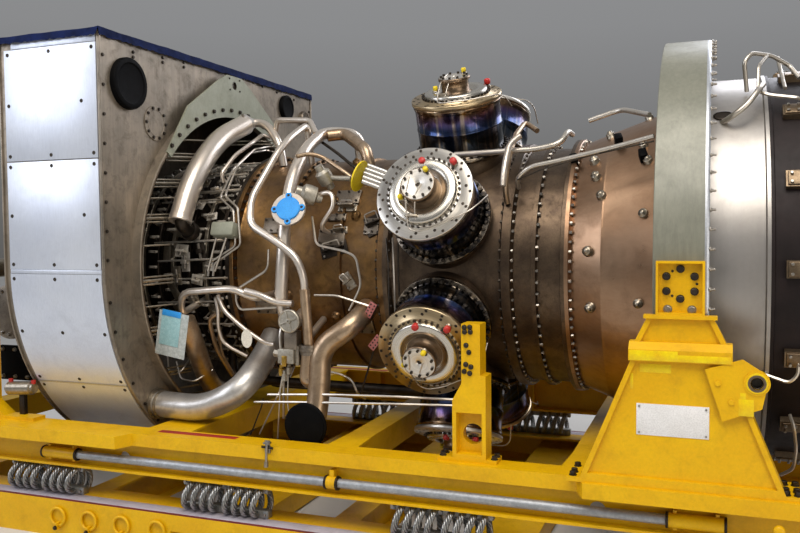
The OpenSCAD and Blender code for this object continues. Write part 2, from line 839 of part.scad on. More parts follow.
// Compressor case with the boss that the bleed duct stands on
module compressor_case() {
    x0 = plenum_x0 + plate_t;
    color([0.4, 0.38, 0.35]) union() {
        turned([[0, x0], [comp_r + 60, x0], [comp_r + 60, x0 + 20], [comp_r - 20, x0 + 60],
            [comp_r - 20, x0 + 330], [comp_r + 20, x0 + 330], [comp_r + 20, x0 + 352],
            [comp_r, x0 + 352], [comp_r, comp_x1 - 30], [mid_r + 52, comp_x1 - 30],
            [mid_r + 52, comp_x1], [0, comp_x1]]);
        radial(boss_x, 73, comp_r - 60)
            cylinder(r = 40, h = boss_top - comp_r + 60);
    }
}

// Unison rings, each carried on a row of radial spindles
module vane_rings() {
    spindles = 24;
    color([0.5, 0.48, 0.45]) for (i = [0:vane_rows - 1])
        let (x = comp_x1 - 90 - i * vane_pitch)
        union() {
            turned([[vane_r, x - 12], [vane_r + 26, x - 12], [vane_r + 26, x + 12], [vane_r, x + 12]]);
            for (k = [0:spindles - 1])
                radial(x, (k + 0.5) * 360 / spindles, comp_r + clearance)
                    cylinder(r = 9, h = vane_r - comp_r + 8, $fn = 16);
        }
}

module middle_case() {
    x0 = comp_x1;
    x1 = mid_x1;
    r = mid_r;
    color(bronze) turned([[0, x0], [r + 52, x0], [r + 52, x0 + 26], [r, x0 + 40], [r, x0 + 330],
        [r + 22, x0 + 336], [r + 22, x0 + 356], [r, x0 + 362], [r, x0 + 700], [r + 14, x0 + 706],
        [r + 14, x0 + 722], [r, x0 + 728], [r, x1 - 60], [r + 50, x1 - 28], [r + 50, x1], [0, x1]]);
}

// Combustion case with a seat for each can
module combustion_case() {
    color([0.36, 0.3, 0.26]) union() {
        turned([[0, mid_x1], [mid_r + 50, mid_x1], [mid_r + 50, mid_x1 + 28], [comb_r, mid_x1 + 50],
            [comb_r, comb_x1 - 40], [comb_r + 30, comb_x1 - 24], [comb_r + 30, comb_x1], [0, comb_x1]]);
        for (i = [0:can_count - 1])
            radial(can_x, (i + 0.5) * 360 / can_count, comb_r - 60)
                cylinder(r = can_foot_r - 14, h = can_seat - comb_r + 60);
    }
}

module combustor_cans() {
    color([0.16, 0.15, 0.16]) for (i = [0:can_count - 1])
        radial(can_x, (i + 0.5) * 360 / can_count, 0)
            rotate_extrude()
                polygon([[0, can_seat], [can_foot_r, can_seat], [can_foot_r, can_seat + can_flange_t],
                    [can_r, can_seat + can_flange_t + 8], [can_r, can_reach - can_flange_t - 12],
                    [can_r + 14, can_reach - can_flange_t], [can_flange_r, can_reach - can_flange_t],
                    [can_flange_r, can_reach], [0, can_reach]]);
}

module can_covers() {
    r = cover_ring_r;
    b = cover_boss_r;
    h = cover_boss_h;
    color([0.72, 0.7, 0.66]) for (i = [0:can_count - 1])
        radial(can_x, (i + 0.5) * 360 / can_count, can_reach)
            rotate_extrude()
                polygon([[0, 0], [r + 24, 0], [r + 24, 6], [r + 2, 6], [r + 2, 26], [r - 6, 34],
                    [r - 30, 37], [r - 52, 35], [r - 72, 17], [b + 6, 12], [b + 4, 18], [b - 12, 26],
                    [b - 12, h - 25], [b, h - 17], [b, h - 4], [b - 4, h], [14, h], [14, h - 10],
                    [0, h - 10]]);
}

module turbine_case() {
    r = cone_r0 - 23;
    color([0.42, 0.33, 0.27]) turned([[0, comb_x1], [comb_r + 30, comb_x1], [comb_r + 30, comb_x1 + 22],
        [r, comb_x1 + 36], [r, comb_x1 + 130], [r + 26, comb_x1 + 136], [r + 26, comb_x1 + 158],
        [r, comb_x1 + 164], [r, turb_x1 - 30], [cone_r0 + 26, turb_x1 - 22], [cone_r0 + 26, turb_x1],
        [0, turb_x1]]);
}

module turbine_cone() {
    color([0.56, 0.42, 0.34]) turned([[0, turb_x1], [cone_r0 + 26, turb_x1], [cone_r0 + 26, turb_x1 + 22],
        [cone_r0, turb_x1 + 30], [cone_r1 - 22, web_x - 30], [cone_r1 + 22, web_x - 24],
        [cone_r1 + 22, web_x], [0, web_x]]);
}

module exhaust_case() {
    x0 = web_x + web_t;
    r = exhaust_r;
    color([0.68, 0.67, 0.65]) turned([[r - 14, x0], [r + 28, x0], [r + 28, x0 + 20], [r, x0 + 26],
        [r, exhaust_x1 - 22], [r + 12, exhaust_x1 - 18], [r + 12, exhaust_x1], [r - 14, exhaust_x1]]);
}

module last_stage_disc() {
    x1 = exhaust_x1 - 40;
    r = exhaust_r - 14 - clearance;
    color([0.4, 0.36, 0.32]) turned([[0, x1 - 34], [r, x1 - 34], [r, x1], [hub_r + 40, x1],
        [hub_r, x1 + 30], [0, x1 + 30]]);
}

module rear_frame() {
    r = exhaust_r;
    x0 = exhaust_x1;
    x1 = frame_x1;
    color([0.16, 0.12, 0.14]) turned([[r - 14, x0], [r + 12, x0], [r + 12, x0 + 16], [r - 2, x0 + 16],
        [r - 2, x1 - 24], [r + 24, x1 - 24], [r + 24, x1], [r - 14, x1]]);
}

// Flat struts from the rear hub out to the rear frame
module rear_struts() {
    r0 = hub_r + clearance;
    r1 = exhaust_r - 14 - clearance;
    color([0.45, 0.38, 0.33]) for (i = [0:strut_count - 1])
        radial(exhaust_x1 + 170, (i + 0.5) * 360 / strut_count, r0)
            translate([-110, -12, 0])
                cube([220, 24, r1 - r0 - 1]);
}

module rear_hub() {
    x0 = exhaust_x1 + 30;
    color([0.4, 0.34, 0.3]) turned([[0, x0 - 40], [hub_r - 60, x0 - 40], [hub_r, x0], [hub_r, x0 + 270],
        [hub_r - 60, x0 + 320], [190, x0 + 350], [190, x0 + 372], [0, x0 + 372]]);
}

// Bolting pads round the rear frame
module frame_pads() {
    pads = 16;
    color([0.6, 0.5, 0.38]) for (i = [0:pads - 1])
        difference() {
            radial(exhaust_x1 + 150, i * 360 / pads - 2, exhaust_r - 8)
                translate([-90, -40, 0])
                    cube([180, 80, 36]);
            drum(exhaust_r - 2 + clearance, exhaust_x1, frame_x1);
        }
}

// Polished duct that arches over the compressor, from its boss to the middle case
boss_x = comp_x1 - 90 - 1.5 * vane_pitch;
boss_top = 790;
module bleed_duct() {
    x = boss_x;
    top = around(x + 50, 955, 81);
    tail = around(x + 130, 965, 84);
    color(steel) union() {
        pipe([around(x, boss_top + clearance, 17), around(x, 880, 17), around(x, 885, 34),
            around(x, 890, 50), around(x, 915, 66), top], bleed_d, 110);
        pipe([top - 30 * unit(tail - top), tail, around(x + 220, 930, 82), around(comp_x1 + 70, 820, 76),
            around(comp_x1 + 90, mid_r + clearance, 74)], 0.45 * bleed_d, 80);
    }
}

// Wide duct from the plenum's rear face up into the middle case
module lower_bleed_duct() {
    x = comp_x1 + 190;
    color(steel) pipe([[plenum_x1 + clearance, -865, 724], [x - 260, -905, 724],
        [x, -920, 850], around(x, 880, -40), around(x, mid_r + clearance, -40)],
        lower_bleed_d, 200);
}

// Duct from the middle case down to its blanked mouth over the rail
mouth_x = mid_x1 - 323;
mouth_y = rail_in - 40;
mouth_z = deck_z + 81;
module crossover_duct() {
    x = mid_x1 - 126;
    color(bronze) pipe([around(x, mid_r + clearance, -20), around(x, 880, -20),
        [mouth_x + 12, -885, 1120], [mouth_x + 6, -905, 860], [mouth_x, -940, mouth_z + 5],
        [mouth_x, -mouth_y, mouth_z]], crossover_d, 90);
}

module manifold_pipe() {
    x = comp_x1 + 455;
    r = mid_r + clearance;
    color(steel) pipe([around(x + 130, r, 88), around(x + 110, 850, 88), around(x - 60, 880, 78),
        around(x - 40, 880, 55), around(x - 30, 880, 37), around(x - 10, 880, 20),
        around(x, 880, 5), around(x - 30, 880, -12), around(x - 10, 860, -24),
        around(x - 10, r, -24)], manifold_d, 110);
}

module service_pipes() {
    x = comp_x1 + 305;
    r = mid_r + clearance;
    color(steel) {
        pipe([around(x, r, 74), around(x, 940, 74), around(x + 10, 945, 57),
            around(x - 10, 940, 48), around(x - 70, 940, 26), around(x - 45, 945, 16),
            around(x + 140, 950, 10), around(x + 265, 945, 5), around(x + 315, 940, -2),
            around(x + 270, 920, -26), around(x + 270, r, -27)], service_d, 60);
        pipe([around(boss_x, comp_r + clearance, -20), around(boss_x, 890, -18),
            around(boss_x + 40, 900, -9), around(x - 180, 900, -7), around(x - 30, 890, -11),
            around(x - 20, r, -13)], service_d, 60);
    }
}

// Black blank on the open end of the crossover duct
module duct_blank() {
    color([0.06, 0.06, 0.06]) translate([mouth_x, -mouth_y - clearance, mouth_z])
        rotate([90, 0, 0]) {
            cylinder(r = 125, h = 18);
            translate([0, 0, 18])
                cylinder(r = 117, h = 6);
        }
}

base_rails();
base_cross_members();
fork_tunnels();
isolators_near();
isolators_far();
upper_rails();
upper_cross_members();
lashing_rings();
side_tubes();
tube_brackets();
front_supports();
front_trunnions();
middle_supports();
trunnion_towers();
lifting_lugs();
trunnion_brackets();
mount_ring();
plenum_front_plate();
plenum_wrap();
plenum_rear_plate();
side_panels();
top_cover();
handling_plate();
round_blanks();
inlet_case();
compressor_case();
vane_rings();
middle_case();
combustion_case();
combustor_cans();
can_covers();
turbine_case();
turbine_cone();
exhaust_case();
last_stage_disc();
rear_frame();
rear_struts();
rear_hub();
frame_pads();
bleed_duct();
lower_bleed_duct();
crossover_duct();
manifold_pipe();
service_pipes();
duct_blank();
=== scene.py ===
"""Looks of an industrial gas turbine on its yellow transport stand.

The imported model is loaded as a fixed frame. Each class below dresses one sub-assembly with
turned casings, bent tubes, bolts and procedural finishes. Lengths are in metres.
"""

import logging
import math
from dataclasses import dataclass
from enum import Enum
from typing import Iterable, Sequence

import bmesh
import bpy
import numpy as np
from mathutils import Matrix, Vector


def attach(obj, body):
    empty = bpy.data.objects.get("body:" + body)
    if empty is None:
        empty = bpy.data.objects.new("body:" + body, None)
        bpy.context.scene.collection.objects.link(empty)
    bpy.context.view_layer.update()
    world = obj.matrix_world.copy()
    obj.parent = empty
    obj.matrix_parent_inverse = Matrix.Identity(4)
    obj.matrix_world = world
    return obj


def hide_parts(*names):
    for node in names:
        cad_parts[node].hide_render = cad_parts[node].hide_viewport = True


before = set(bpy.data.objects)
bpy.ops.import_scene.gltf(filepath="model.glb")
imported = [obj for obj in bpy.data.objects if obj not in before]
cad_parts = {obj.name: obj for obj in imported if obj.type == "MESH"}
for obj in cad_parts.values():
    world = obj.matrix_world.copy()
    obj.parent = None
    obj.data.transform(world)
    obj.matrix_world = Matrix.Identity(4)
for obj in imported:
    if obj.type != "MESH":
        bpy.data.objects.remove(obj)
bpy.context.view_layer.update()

LOG = logging.getLogger("gas_turbine")
BODY = "root"
AXIS_H = 1.555  # height of the engine's axis
RING_MID = 1.707  # station of the mount ring's middle
BLEED_MM = -1182.0  # station of the bleed duct in millimetres
CORE = 0.30  # radius of the closed core inside the casings
LOCAL = "local_place"
Piece = bpy.types.Object
Tree = bpy.types.NodeTree
Socket = bpy.types.NodeSocket
Point = tuple[float, float, float]
Outline = list[tuple[float, float]]


class Side(Enum):
    """The two sides of the stand, by the sign of their Y."""

    NEAR = -1
    FAR = 1


class Grain(Enum):
    """The way a metal was worked, as the stretch of its pattern along X, Y and Z."""

    NONE = (1.0, 1.0, 1.0)
    ALONG_X = (0.06, 1.0, 1.0)
    ALONG_Z = (1.0, 1.0, 0.06)


# Finishes


def linear(code: str) -> tuple[float, float, float, float]:
    """Turns an sRGB hex code to linear light.

    Args:
        code: Six hex digits, with a leading hash mark.

    Returns:
        Red, green, blue and an alpha of one.
    """
    parts = [int(code[i:i + 2], 16) / 255 for i in (1, 3, 5)]
    red, green, blue = (c / 12.92 if c <= 0.04045 else ((c + 0.055) / 1.055) ** 2.4 for c in parts)
    return red, green, blue, 1.0


def per_mm(size: float) -> float:
    """Gives the texture scale whose features are about this many millimetres wide."""
    return 1000.0 / size


def add_node(tree: Tree, kind: str, inputs: dict | None = None,
             stops: Sequence[tuple[float, str]] = (), **settings: object) -> bpy.types.Node:
    """Adds a node with its settings and links.

    Args:
        tree: The node tree that takes the node.
        kind: The node's type name.
        inputs: Input name or number to a value, or to an output socket to link.
        stops: Places and hex colours of a colour ramp.
        **settings: Attributes to set on the node.

    Returns:
        The new node.
    """
    node = tree.nodes.new(kind)
    for key, value in settings.items():
        setattr(node, key, value)
    for key, value in (inputs or {}).items():
        if isinstance(value, Socket):
            tree.links.new(value, node.inputs[key])
        else:
            node.inputs[key].default_value = value
    if stops:
        ramp = node.color_ramp.elements
        while len(ramp) < len(stops):
            ramp.new(1.0)
        for element, (place, code) in zip(ramp, stops):
            element.position = place
            element.color = linear(code)
    return node


@dataclass(frozen=True)
class Finish:
    """A worked or painted surface with blotches, grain, specks and a fine bump.

    Attributes:
        name: What the surface is.
        base: Main colour.
        tint: Colour of its blotches.
        dirt: Colour of its specks and stains; on the rope wire also painted shade.
        metallic: One for bare metal.
        rough: Lowest and highest roughness.
        blotch_mm: Size of the blotches.
        grain: Direction of the working marks.
        grain_mm: Spacing of the working marks.
        grain_depth: How strongly the marks show in colour and relief.
        dirt_share: Share of the surface that stains take; on the rope wire also painted shade.
        bump_mm: Relief in millimetres.
        coat: Clear coat weight.
        gloss: Strength of the mirror-like part on paint and plastic.
    """

    name: str
    base: str
    tint: str
    dirt: str
    metallic: float = 1.0
    rough: tuple[float, float] = (0.3, 0.45)
    blotch_mm: float = 260.0
    grain: Grain = Grain.NONE
    grain_mm: float = 6.0
    grain_depth: float = 0.25
    dirt_share: float = 0.3
    bump_mm: float = 0.25
    coat: float = 0.0
    gloss: float = 0.5

    def where(self, tree: Tree) -> Socket:
        """Gives the coordinates that the pattern follows."""
        return add_node(tree, "ShaderNodeTexCoord").outputs["Object"]

    def colour(self, tree: Tree, place: Socket) -> Socket:
        """Gives the colour before stains: the base with its blotches.

        Args:
            tree: The material's node tree.
            place: Coordinates that the pattern follows.

        Returns:
            The socket with the colour.
        """
        blotch = add_node(tree, "ShaderNodeTexNoise",
                          {"Vector": place, "Scale": per_mm(self.blotch_mm), "Detail": 5.0,
                           "Roughness": 0.6})
        soft = add_node(tree, "ShaderNodeMapRange",
                        {"Value": blotch.outputs["Fac"], "From Min": 0.35, "From Max": 0.68})
        return add_node(tree, "ShaderNodeMix",
                        {0: soft.outputs["Result"], 6: linear(self.base), 7: linear(self.tint)},
                        data_type="RGBA").outputs[2]

    def material(self) -> bpy.types.Material:
        """Builds the material once and reuses it.

        Returns:
            The finished material.
        """
        if self.name in bpy.data.materials:
            return bpy.data.materials[self.name]
        made = bpy.data.materials.new(self.name)
        made.use_nodes = True
        tree = made.node_tree
        tree.nodes.clear()
        place = self.where(tree)
        colour = self.colour(tree, place)
        stretched = add_node(tree, "ShaderNodeMapping", {"Vector": place, "Scale": self.grain.value})
        marks = add_node(tree, "ShaderNodeTexNoise",
                         {"Vector": stretched.outputs["Vector"], "Scale": per_mm(self.grain_mm),
                          "Detail": 3.0, "Roughness": 0.7})
        stain = add_node(tree, "ShaderNodeTexNoise",
                         {"Vector": place, "Scale": per_mm(self.blotch_mm * 0.35), "Detail": 8.0,
                          "Roughness": 0.72, "Distortion": 0.4})
        # mask of the stains; on the rope wire these near-black blotches are partly painted shade
        stained = add_node(tree, "ShaderNodeMapRange",
                           {"Value": stain.outputs["Fac"], "From Min": 0.5, "From Max": 0.78,
                            "To Max": self.dirt_share})
        shade = add_node(tree, "ShaderNodeMapRange",
                         {"Value": marks.outputs["Fac"], "From Min": 0.25, "From Max": 0.75,
                          "To Min": 1.0 - self.grain_depth, "To Max": 1.0 + 0.4 * self.grain_depth})
        marked = add_node(tree, "ShaderNodeVectorMath", {0: colour, 3: shade.outputs["Result"]},
                          operation="SCALE")
        dirty = add_node(tree, "ShaderNodeMix",
                         {0: stained.outputs["Result"], 6: marked.outputs["Vector"],
                          7: linear(self.dirt)}, data_type="RGBA")
        rough = add_node(tree, "ShaderNodeMapRange",
                         {"Value": stain.outputs["Fac"], "From Min": 0.3, "From Max": 0.7,
                          "To Min": self.rough[0], "To Max": self.rough[1]})
        bump = add_node(tree, "ShaderNodeBump",
                        {"Strength": 0.6, "Distance": self.bump_mm / 1000,
                         "Height": marks.outputs["Fac"]})
        shader = add_node(tree, "ShaderNodeBsdfPrincipled",
                          {"Base Color": dirty.outputs[2], "Roughness": rough.outputs["Result"],
                           "Metallic": self.metallic, "Coat Weight": self.coat,
                           "Coat Roughness": 0.2, "Specular IOR Level": self.gloss,
                           "Normal": bump.outputs["Normal"]})
        add_node(tree, "ShaderNodeOutputMaterial", {"Surface": shader.outputs["BSDF"]})
        return made


@dataclass(frozen=True)
class HeatTinted(Finish):
    """Steel that ran hot: bands of straw, purple and blue oxide across the piece's own height, with painted
    highlight streaks along it.

    Attributes:
        bands: Places from foot to rim and the oxide colour there.
        height: Length of the piece over which the bands run.
        start: Where along the piece the bands begin.
        streak: Colour of the painted highlight streaks along the piece, which stand in for reflections on the
            round can.
        streak_mm: Width of the painted highlight streaks.
    """

    bands: tuple[tuple[float, str], ...] = ((0.0, "#17151A"), (1.0, "#5B4630"))
    height: float = 0.34
    start: float = 0.745
    streak: str = "#C9B79E"
    streak_mm: float = 46.0

    def where(self, tree: Tree) -> Socket:
        """Gives the piece's own coordinates, so that the painted highlight streaks run along it."""
        return add_node(tree, "ShaderNodeAttribute", attribute_name=LOCAL).outputs["Vector"]

    def colour(self, tree: Tree, place: Socket) -> Socket:
        """Gives the oxide colour at each height, with a wavy edge and painted highlight streaks along the
        piece.

        Args:
            tree: The material's node tree.
            place: Coordinates that the pattern follows.

        Returns:
            The socket with the colour.
        """
        split = add_node(tree, "ShaderNodeSeparateXYZ", {"Vector": place})
        drift = add_node(tree, "ShaderNodeTexNoise",
                         {"Vector": place, "Scale": per_mm(self.blotch_mm), "Detail": 4.0})
        wavy = add_node(tree, "ShaderNodeMath",
                        {0: drift.outputs["Fac"], 1: 0.09, 2: split.outputs["Z"]},
                        operation="MULTIPLY_ADD")
        level = add_node(tree, "ShaderNodeMapRange",
                         {"Value": wavy.outputs["Value"], "From Min": self.start + 0.045,
                          "From Max": self.start + 0.045 + self.height})
        oxide = add_node(tree, "ShaderNodeValToRGB", {"Fac": level.outputs["Result"]}, stops=self.bands)
        # painted highlight: pale streaks stretched along the piece stand in for reflections on the round can
        drawn = add_node(tree, "ShaderNodeMapping", {"Vector": place, "Scale": (1.0, 1.0, 0.03)})
        streak = add_node(tree, "ShaderNodeTexNoise",
                          {"Vector": drawn.outputs["Vector"], "Scale": per_mm(self.streak_mm), "Detail": 5.0,
                           "Roughness": 0.65})
        # share is the mask of the painted highlight streaks
        share = add_node(tree, "ShaderNodeMapRange",
                         {"Value": streak.outputs["Fac"], "From Min": 0.5, "From Max": 0.68, "To Max": 0.62})
        return add_node(tree, "ShaderNodeMix",
                        {0: share.outputs["Result"], 6: oxide.outputs["Color"], 7: linear(self.streak)},
                        data_type="RGBA").outputs[2]


@dataclass(frozen=True)
class TurnedFace(Finish):
    """A face cut on a lathe: fine rings round the piece's own axis catch the light."""

    def where(self, tree: Tree) -> Socket:
        """Gives the radius from the piece's own axis as a pattern that runs round it.

        Args:
            tree: The material's node tree.

        Returns:
            The socket with radius and height.
        """
        place = add_node(tree, "ShaderNodeAttribute", attribute_name=LOCAL).outputs["Vector"]
        flat = add_node(tree, "ShaderNodeVectorMath", {0: place, 1: (1.0, 1.0, 0.0)},
                        operation="MULTIPLY")
        radius = add_node(tree, "ShaderNodeVectorMath", {0: flat.outputs["Vector"]},
                          operation="LENGTH")
        split = add_node(tree, "ShaderNodeSeparateXYZ", {"Vector": place})
        return add_node(tree, "ShaderNodeCombineXYZ",
                        {"X": radius.outputs["Value"], "Y": split.outputs["Z"]}).outputs["Vector"]


# Each finish is named for the real material, and where it also paints shade its name says so. The words say
# what it gives the eye.
ENAMEL = Finish("polyurethane_enamel_yellow", "#DDA900", "#E6B600", "#75500A", 0.0, (0.34, 0.54),
                300.0, Grain.NONE, 14.0, 0.1, 0.3, 0.12, 0.08, 0.3)  # sprayed paint, dull where handled
FRESH_ENAMEL = Finish("touched_up_enamel_yellow", "#EED400", "#E2B400", "#C0920A", 0.0, (0.3, 0.45),
                      70.0, Grain.NONE, 9.0, 0.1, 0.3, 0.15, 0.15, 0.4)  # lemon, laid on with a brush
RED_PAINT = Finish("red_marking_paint", "#B3201C", "#9A1A18", "#5A1410", 0.0, (0.45, 0.6))  # flat, stencilled
PALE_PAINT = Finish("worn_pale_deck_paint", "#B7AEB8", "#C9C3CC", "#7D6F63", 0.1, (0.35, 0.55),
                    180.0, Grain.ALONG_X, 8.0, 0.2, 0.45, 0.15)  # scuffed along the rail
MAROON_PAINT = Finish("maroon_edge_paint", "#7C2C2A", "#6A2422", "#3C1B18", 0.0, (0.45, 0.6))  # thin, dull
GALVANISED = Finish("hot_dip_galvanised_steel", "#B4B7BA", "#9A9EA2", "#75726A", 0.7, (0.4, 0.6),
                    40.0, Grain.NONE, 12.0, 0.18, 0.4, 0.15)  # grey spangle, dull
ROPE_WIRE = Finish("galvanised_rope_wire", "#9A9A98", "#BEBEBC", "#161412", 0.9, (0.26, 0.42),
                   26.0, Grain.NONE, 3.0, 0.6, 0.8, 0.5)  # wires of a strand; near-black blotches, partly grease, partly painted shade of the gaps between strands
BAR_STEEL = Finish("zinc_plated_bar", "#8E8D86", "#A5A49C", "#4B4740", 0.8, (0.35, 0.55), 60.0)  # sawn bar
PRIMER = Finish("cadmium_grey_green_band", "#77786B", "#858577", "#4E4E42", 0.1, (0.28, 0.42),
                300.0, Grain.ALONG_Z, 16.0, 0.18, 0.35, 0.1)  # satin, smeared up and down
PLATE_PRIMER = Finish("grey_green_primer", "#8A8C7A", "#989A8A", "#5C5C4E", 0.2, (0.45, 0.6),
                      200.0, Grain.NONE, 20.0, 0.1, 0.3, 0.1)  # sprayed flat
STAINED_SHEET = Finish("stained_stainless_sheet", "#968A7A", "#7A7164", "#3E352A", 0.55, (0.34, 0.56),
                       240.0, Grain.ALONG_Z, 26.0, 0.22, 0.75, 0.1)  # run marks down the plate
RIM_STEEL = Finish("heat_stained_rim", "#6A5C4E", "#8C7C6A", "#2A2018", 0.85, (0.3, 0.5), 200.0,
                   Grain.NONE, 14.0, 0.2, 0.5, 0.1)  # brown, worn along the lip
BRIGHT_PANEL = Finish("brushed_aluminium_sheet", "#D6DCE8", "#E0E5EE", "#A0A5B0", 0.55, (0.3, 0.46),
                      420.0, Grain.ALONG_Z, 5.0, 0.1, 0.28, 0.06)  # nearly white, soft streaks
EDGE_ALUMINIUM = Finish("rolled_aluminium_edge", "#C4C8CE", "#D2D6DC", "#86898E", 0.8,
                        (0.3, 0.45))  # bright lip
CASE_STEEL = Finish("machined_heat_resisting_steel", "#7E7468", "#978B7C", "#352C24", 0.9, (0.28, 0.5),
                    110.0, Grain.NONE, 5.0, 0.3, 0.65, 0.2)  # brown-grey, oily
BROWN_CASE = Finish("heat_browned_case", "#54463A", "#6E5D4B", "#1F1812", 0.9, (0.28, 0.48), 100.0,
                    Grain.NONE, 5.0, 0.3, 0.65, 0.2)  # darker where it ran hotter
DARK_STEEL = Finish("oiled_dark_steel", "#2F2A26", "#4A4138", "#120F0C", 0.85, (0.33, 0.55),
                    90.0, Grain.NONE, 6.0, 0.3, 0.5, 0.2)  # nearly black in the gaps; also painted shade in the hole discs and the dark pipes under the engine
BRONZE_CASE = Finish("heat_tinted_titanium_case", "#8C6A3E", "#6B5440", "#241A12", 0.95, (0.28, 0.46),
                     210.0, Grain.NONE, 30.0, 0.22, 0.75, 0.1)  # golden oxide with dark brown runs
COPPER_CASE = Finish("heat_tinted_nickel_cone", "#96755A", "#A88A70", "#5A4230", 0.95, (0.26, 0.42),
                     380.0, Grain.ALONG_X, 40.0, 0.12, 0.45, 0.05)  # brown copper oxide
EXHAUST_SHEET = Finish("rolled_stainless_sheet", "#A5A09A", "#B6B2AE", "#716A64", 0.85, (0.28, 0.42),
                       500.0, Grain.ALONG_Z, 60.0, 0.1, 0.28, 0.05)  # clean, rolled the short way
FRAME_DARK = Finish("dark_aluminide_coating", "#1B1515", "#261D1D", "#120D0C", 0.35, (0.42, 0.6),
                    180.0, Grain.ALONG_Z, 30.0, 0.2, 0.4, 0.1, 0.0, 0.3)  # aubergine brown, dull
PAD_METAL = Finish("machined_bronze_pad", "#6E5E4C", "#8A7860", "#3E3024", 0.9, (0.3, 0.45), 50.0)  # milled
TUBE_BRIGHT = Finish("drawn_stainless_tube", "#D2C6B8", "#DED5CA", "#9A8870", 0.82, (0.29, 0.35),
                     420.0, Grain.NONE, 24.0, 0.04, 0.25, 0.01)  # satin, faint straw tint
TUBE_SILVER = Finish("pickled_stainless_duct", "#C2BEB8", "#D2CFCA", "#776F65", 0.75, (0.31, 0.42),
                     190.0, Grain.NONE, 16.0, 0.1, 0.5, 0.05)  # satin after pickling
TUBE_BROWN = Finish("heat_tinted_tube", "#A48B70", "#C0A98E", "#4A3727", 0.82, (0.27, 0.38),
                    160.0, Grain.NONE, 30.0, 0.1, 0.6, 0.03)  # straw to brown oxide
LINE_STEEL = Finish("small_bore_steel_line", "#C6BEB1", "#D6CFC5", "#766B5C", 0.85, (0.28, 0.36), 120.0,
                    Grain.NONE, 12.0, 0.08, 0.3, 0.02)  # bright, satin
LEVER_STEEL = Finish("cadmium_plated_lever", "#B5ADA0", "#CBC4B8", "#4E463C", 0.35, (0.3, 0.45),
                     30.0)  # pale plating
FITTING_STEEL = Finish("cadmium_plated_fitting", "#9A9080", "#B5AB9A", "#4A4236", 0.95, (0.3, 0.45),
                       30.0)  # turned, slightly golden
BOLT_DARK = Finish("blackened_bolt", "#3A3530", "#4E463D", "#16120F", 0.85, (0.35, 0.5), 20.0)  # oiled black; also painted shade in the perforations
BOLT_BRIGHT = Finish("plated_bolt", "#9A948B", "#B5AFA6", "#4C463E", 0.95, (0.28, 0.42),
                     20.0)  # bright plated
BRASS = Finish("machined_brass", "#B08A3C", "#C9A352", "#6B4E1D", 1.0, (0.25, 0.4), 30.0)  # yellow, cut faces
VALVE_CAST = Finish("cast_valve_body", "#A19A8C", "#B9B3A6", "#4E483E", 0.75, (0.35, 0.52), 45.0,
                    Grain.NONE, 3.0, 0.25, 0.6, 0.4)  # sand-cast skin, oily in its corners
RED_CAP = Finish("moulded_red_polythene", "#B82420", "#C83028", "#6E1614", 0.0, (0.35, 0.45), 20.0)  # waxy
PINK_PLATE = Finish("perforated_pink_plate", "#A8605C", "#B9726C", "#6A3430", 0.0, (0.4, 0.55), 20.0)  # faded
YELLOW_CAP = Finish("moulded_yellow_polythene", "#E8C90C", "#F2D820", "#A48A10", 0.0, (0.35, 0.45),
                    20.0)  # waxy
BLUE_CAP = Finish("moulded_blue_polythene", "#2593E6", "#35A0EE", "#1F6FAE", 0.0, (0.35, 0.5), 60.0)  # waxy
BLACK_PLASTIC = Finish("moulded_black_polythene", "#060607", "#0B0B0C", "#171614", 0.0, (0.5, 0.7),
                       120.0, Grain.NONE, 4.0, 0.1, 0.5, 0.1, 0.0, 0.06)  # dull, dusty in places
WHITE_PLATE = Finish("white_laminate_plate", "#E4E3E1", "#ECEBEA", "#BDBAB5", 0.0, (0.35, 0.45),
                     80.0)  # clean
CLEAR_BAG = Finish("creased_clear_film", "#A9B2B0", "#C6CCCA", "#6D706C", 0.0, (0.15, 0.35), 25.0,
                   Grain.NONE, 12.0, 0.3, 0.3, 2.0, 0.3)  # creases catch the light
BLUE_CARD = Finish("pale_blue_card_tag", "#93BFC4", "#A4CBCF", "#6F9CA2", 0.0, (0.6, 0.75), 20.0)  # soft card
BUFF_CARD = Finish("buff_card_tag", "#D8D2C2", "#E2DCCE", "#9A917C", 0.0, (0.65, 0.8), 20.0)  # soft card
COVER_CLOTH = Finish("navy_coated_polyester", "#0B1535", "#142250", "#060A18", 0.0, (0.6, 0.75),
                     90.0, Grain.NONE, 3.0, 0.3, 0.5, 0.5, 0.0, 0.08)  # woven, creased
STUDIO_FLOOR = Finish("pale_studio_floor", "#C9C8C5", "#CFCECB", "#BDBBB7", 0.0, (0.6, 0.7),
                      2500.0, Grain.NONE, 30.0, 0.02, 0.1, 0.05)  # even and dull
TURNED_COVER = TurnedFace("turned_steel_cover", "#DAD4CA", "#E6E1D8", "#8E8475", 0.9, (0.26, 0.42),
                          60.0, Grain.NONE, 5.0, 0.2, 0.4, 0.12)  # rings of the facing cut
POLISHED_RING = TurnedFace("polished_cover_dish", "#CDC6B9", "#DCD7CD", "#8E8372", 1.0, (0.2, 0.34),
                           60.0, Grain.NONE, 5.0, 0.22, 0.3, 0.08)  # fine turned, nearly mirror-like
STRAW_COVER = TurnedFace("straw_tinted_cover", "#BEA67E", "#CCB896", "#7C6444", 1.0, (0.24, 0.4),
                         60.0, Grain.NONE, 5.0, 0.2, 0.4, 0.12)  # pale straw oxide
BROWN_BOSS = TurnedFace("heat_browned_boss", "#7A6652", "#947F68", "#33261A", 1.0, (0.24, 0.4),
                        60.0, Grain.NONE, 5.0, 0.22, 0.5, 0.15)  # brown oxide round the neck
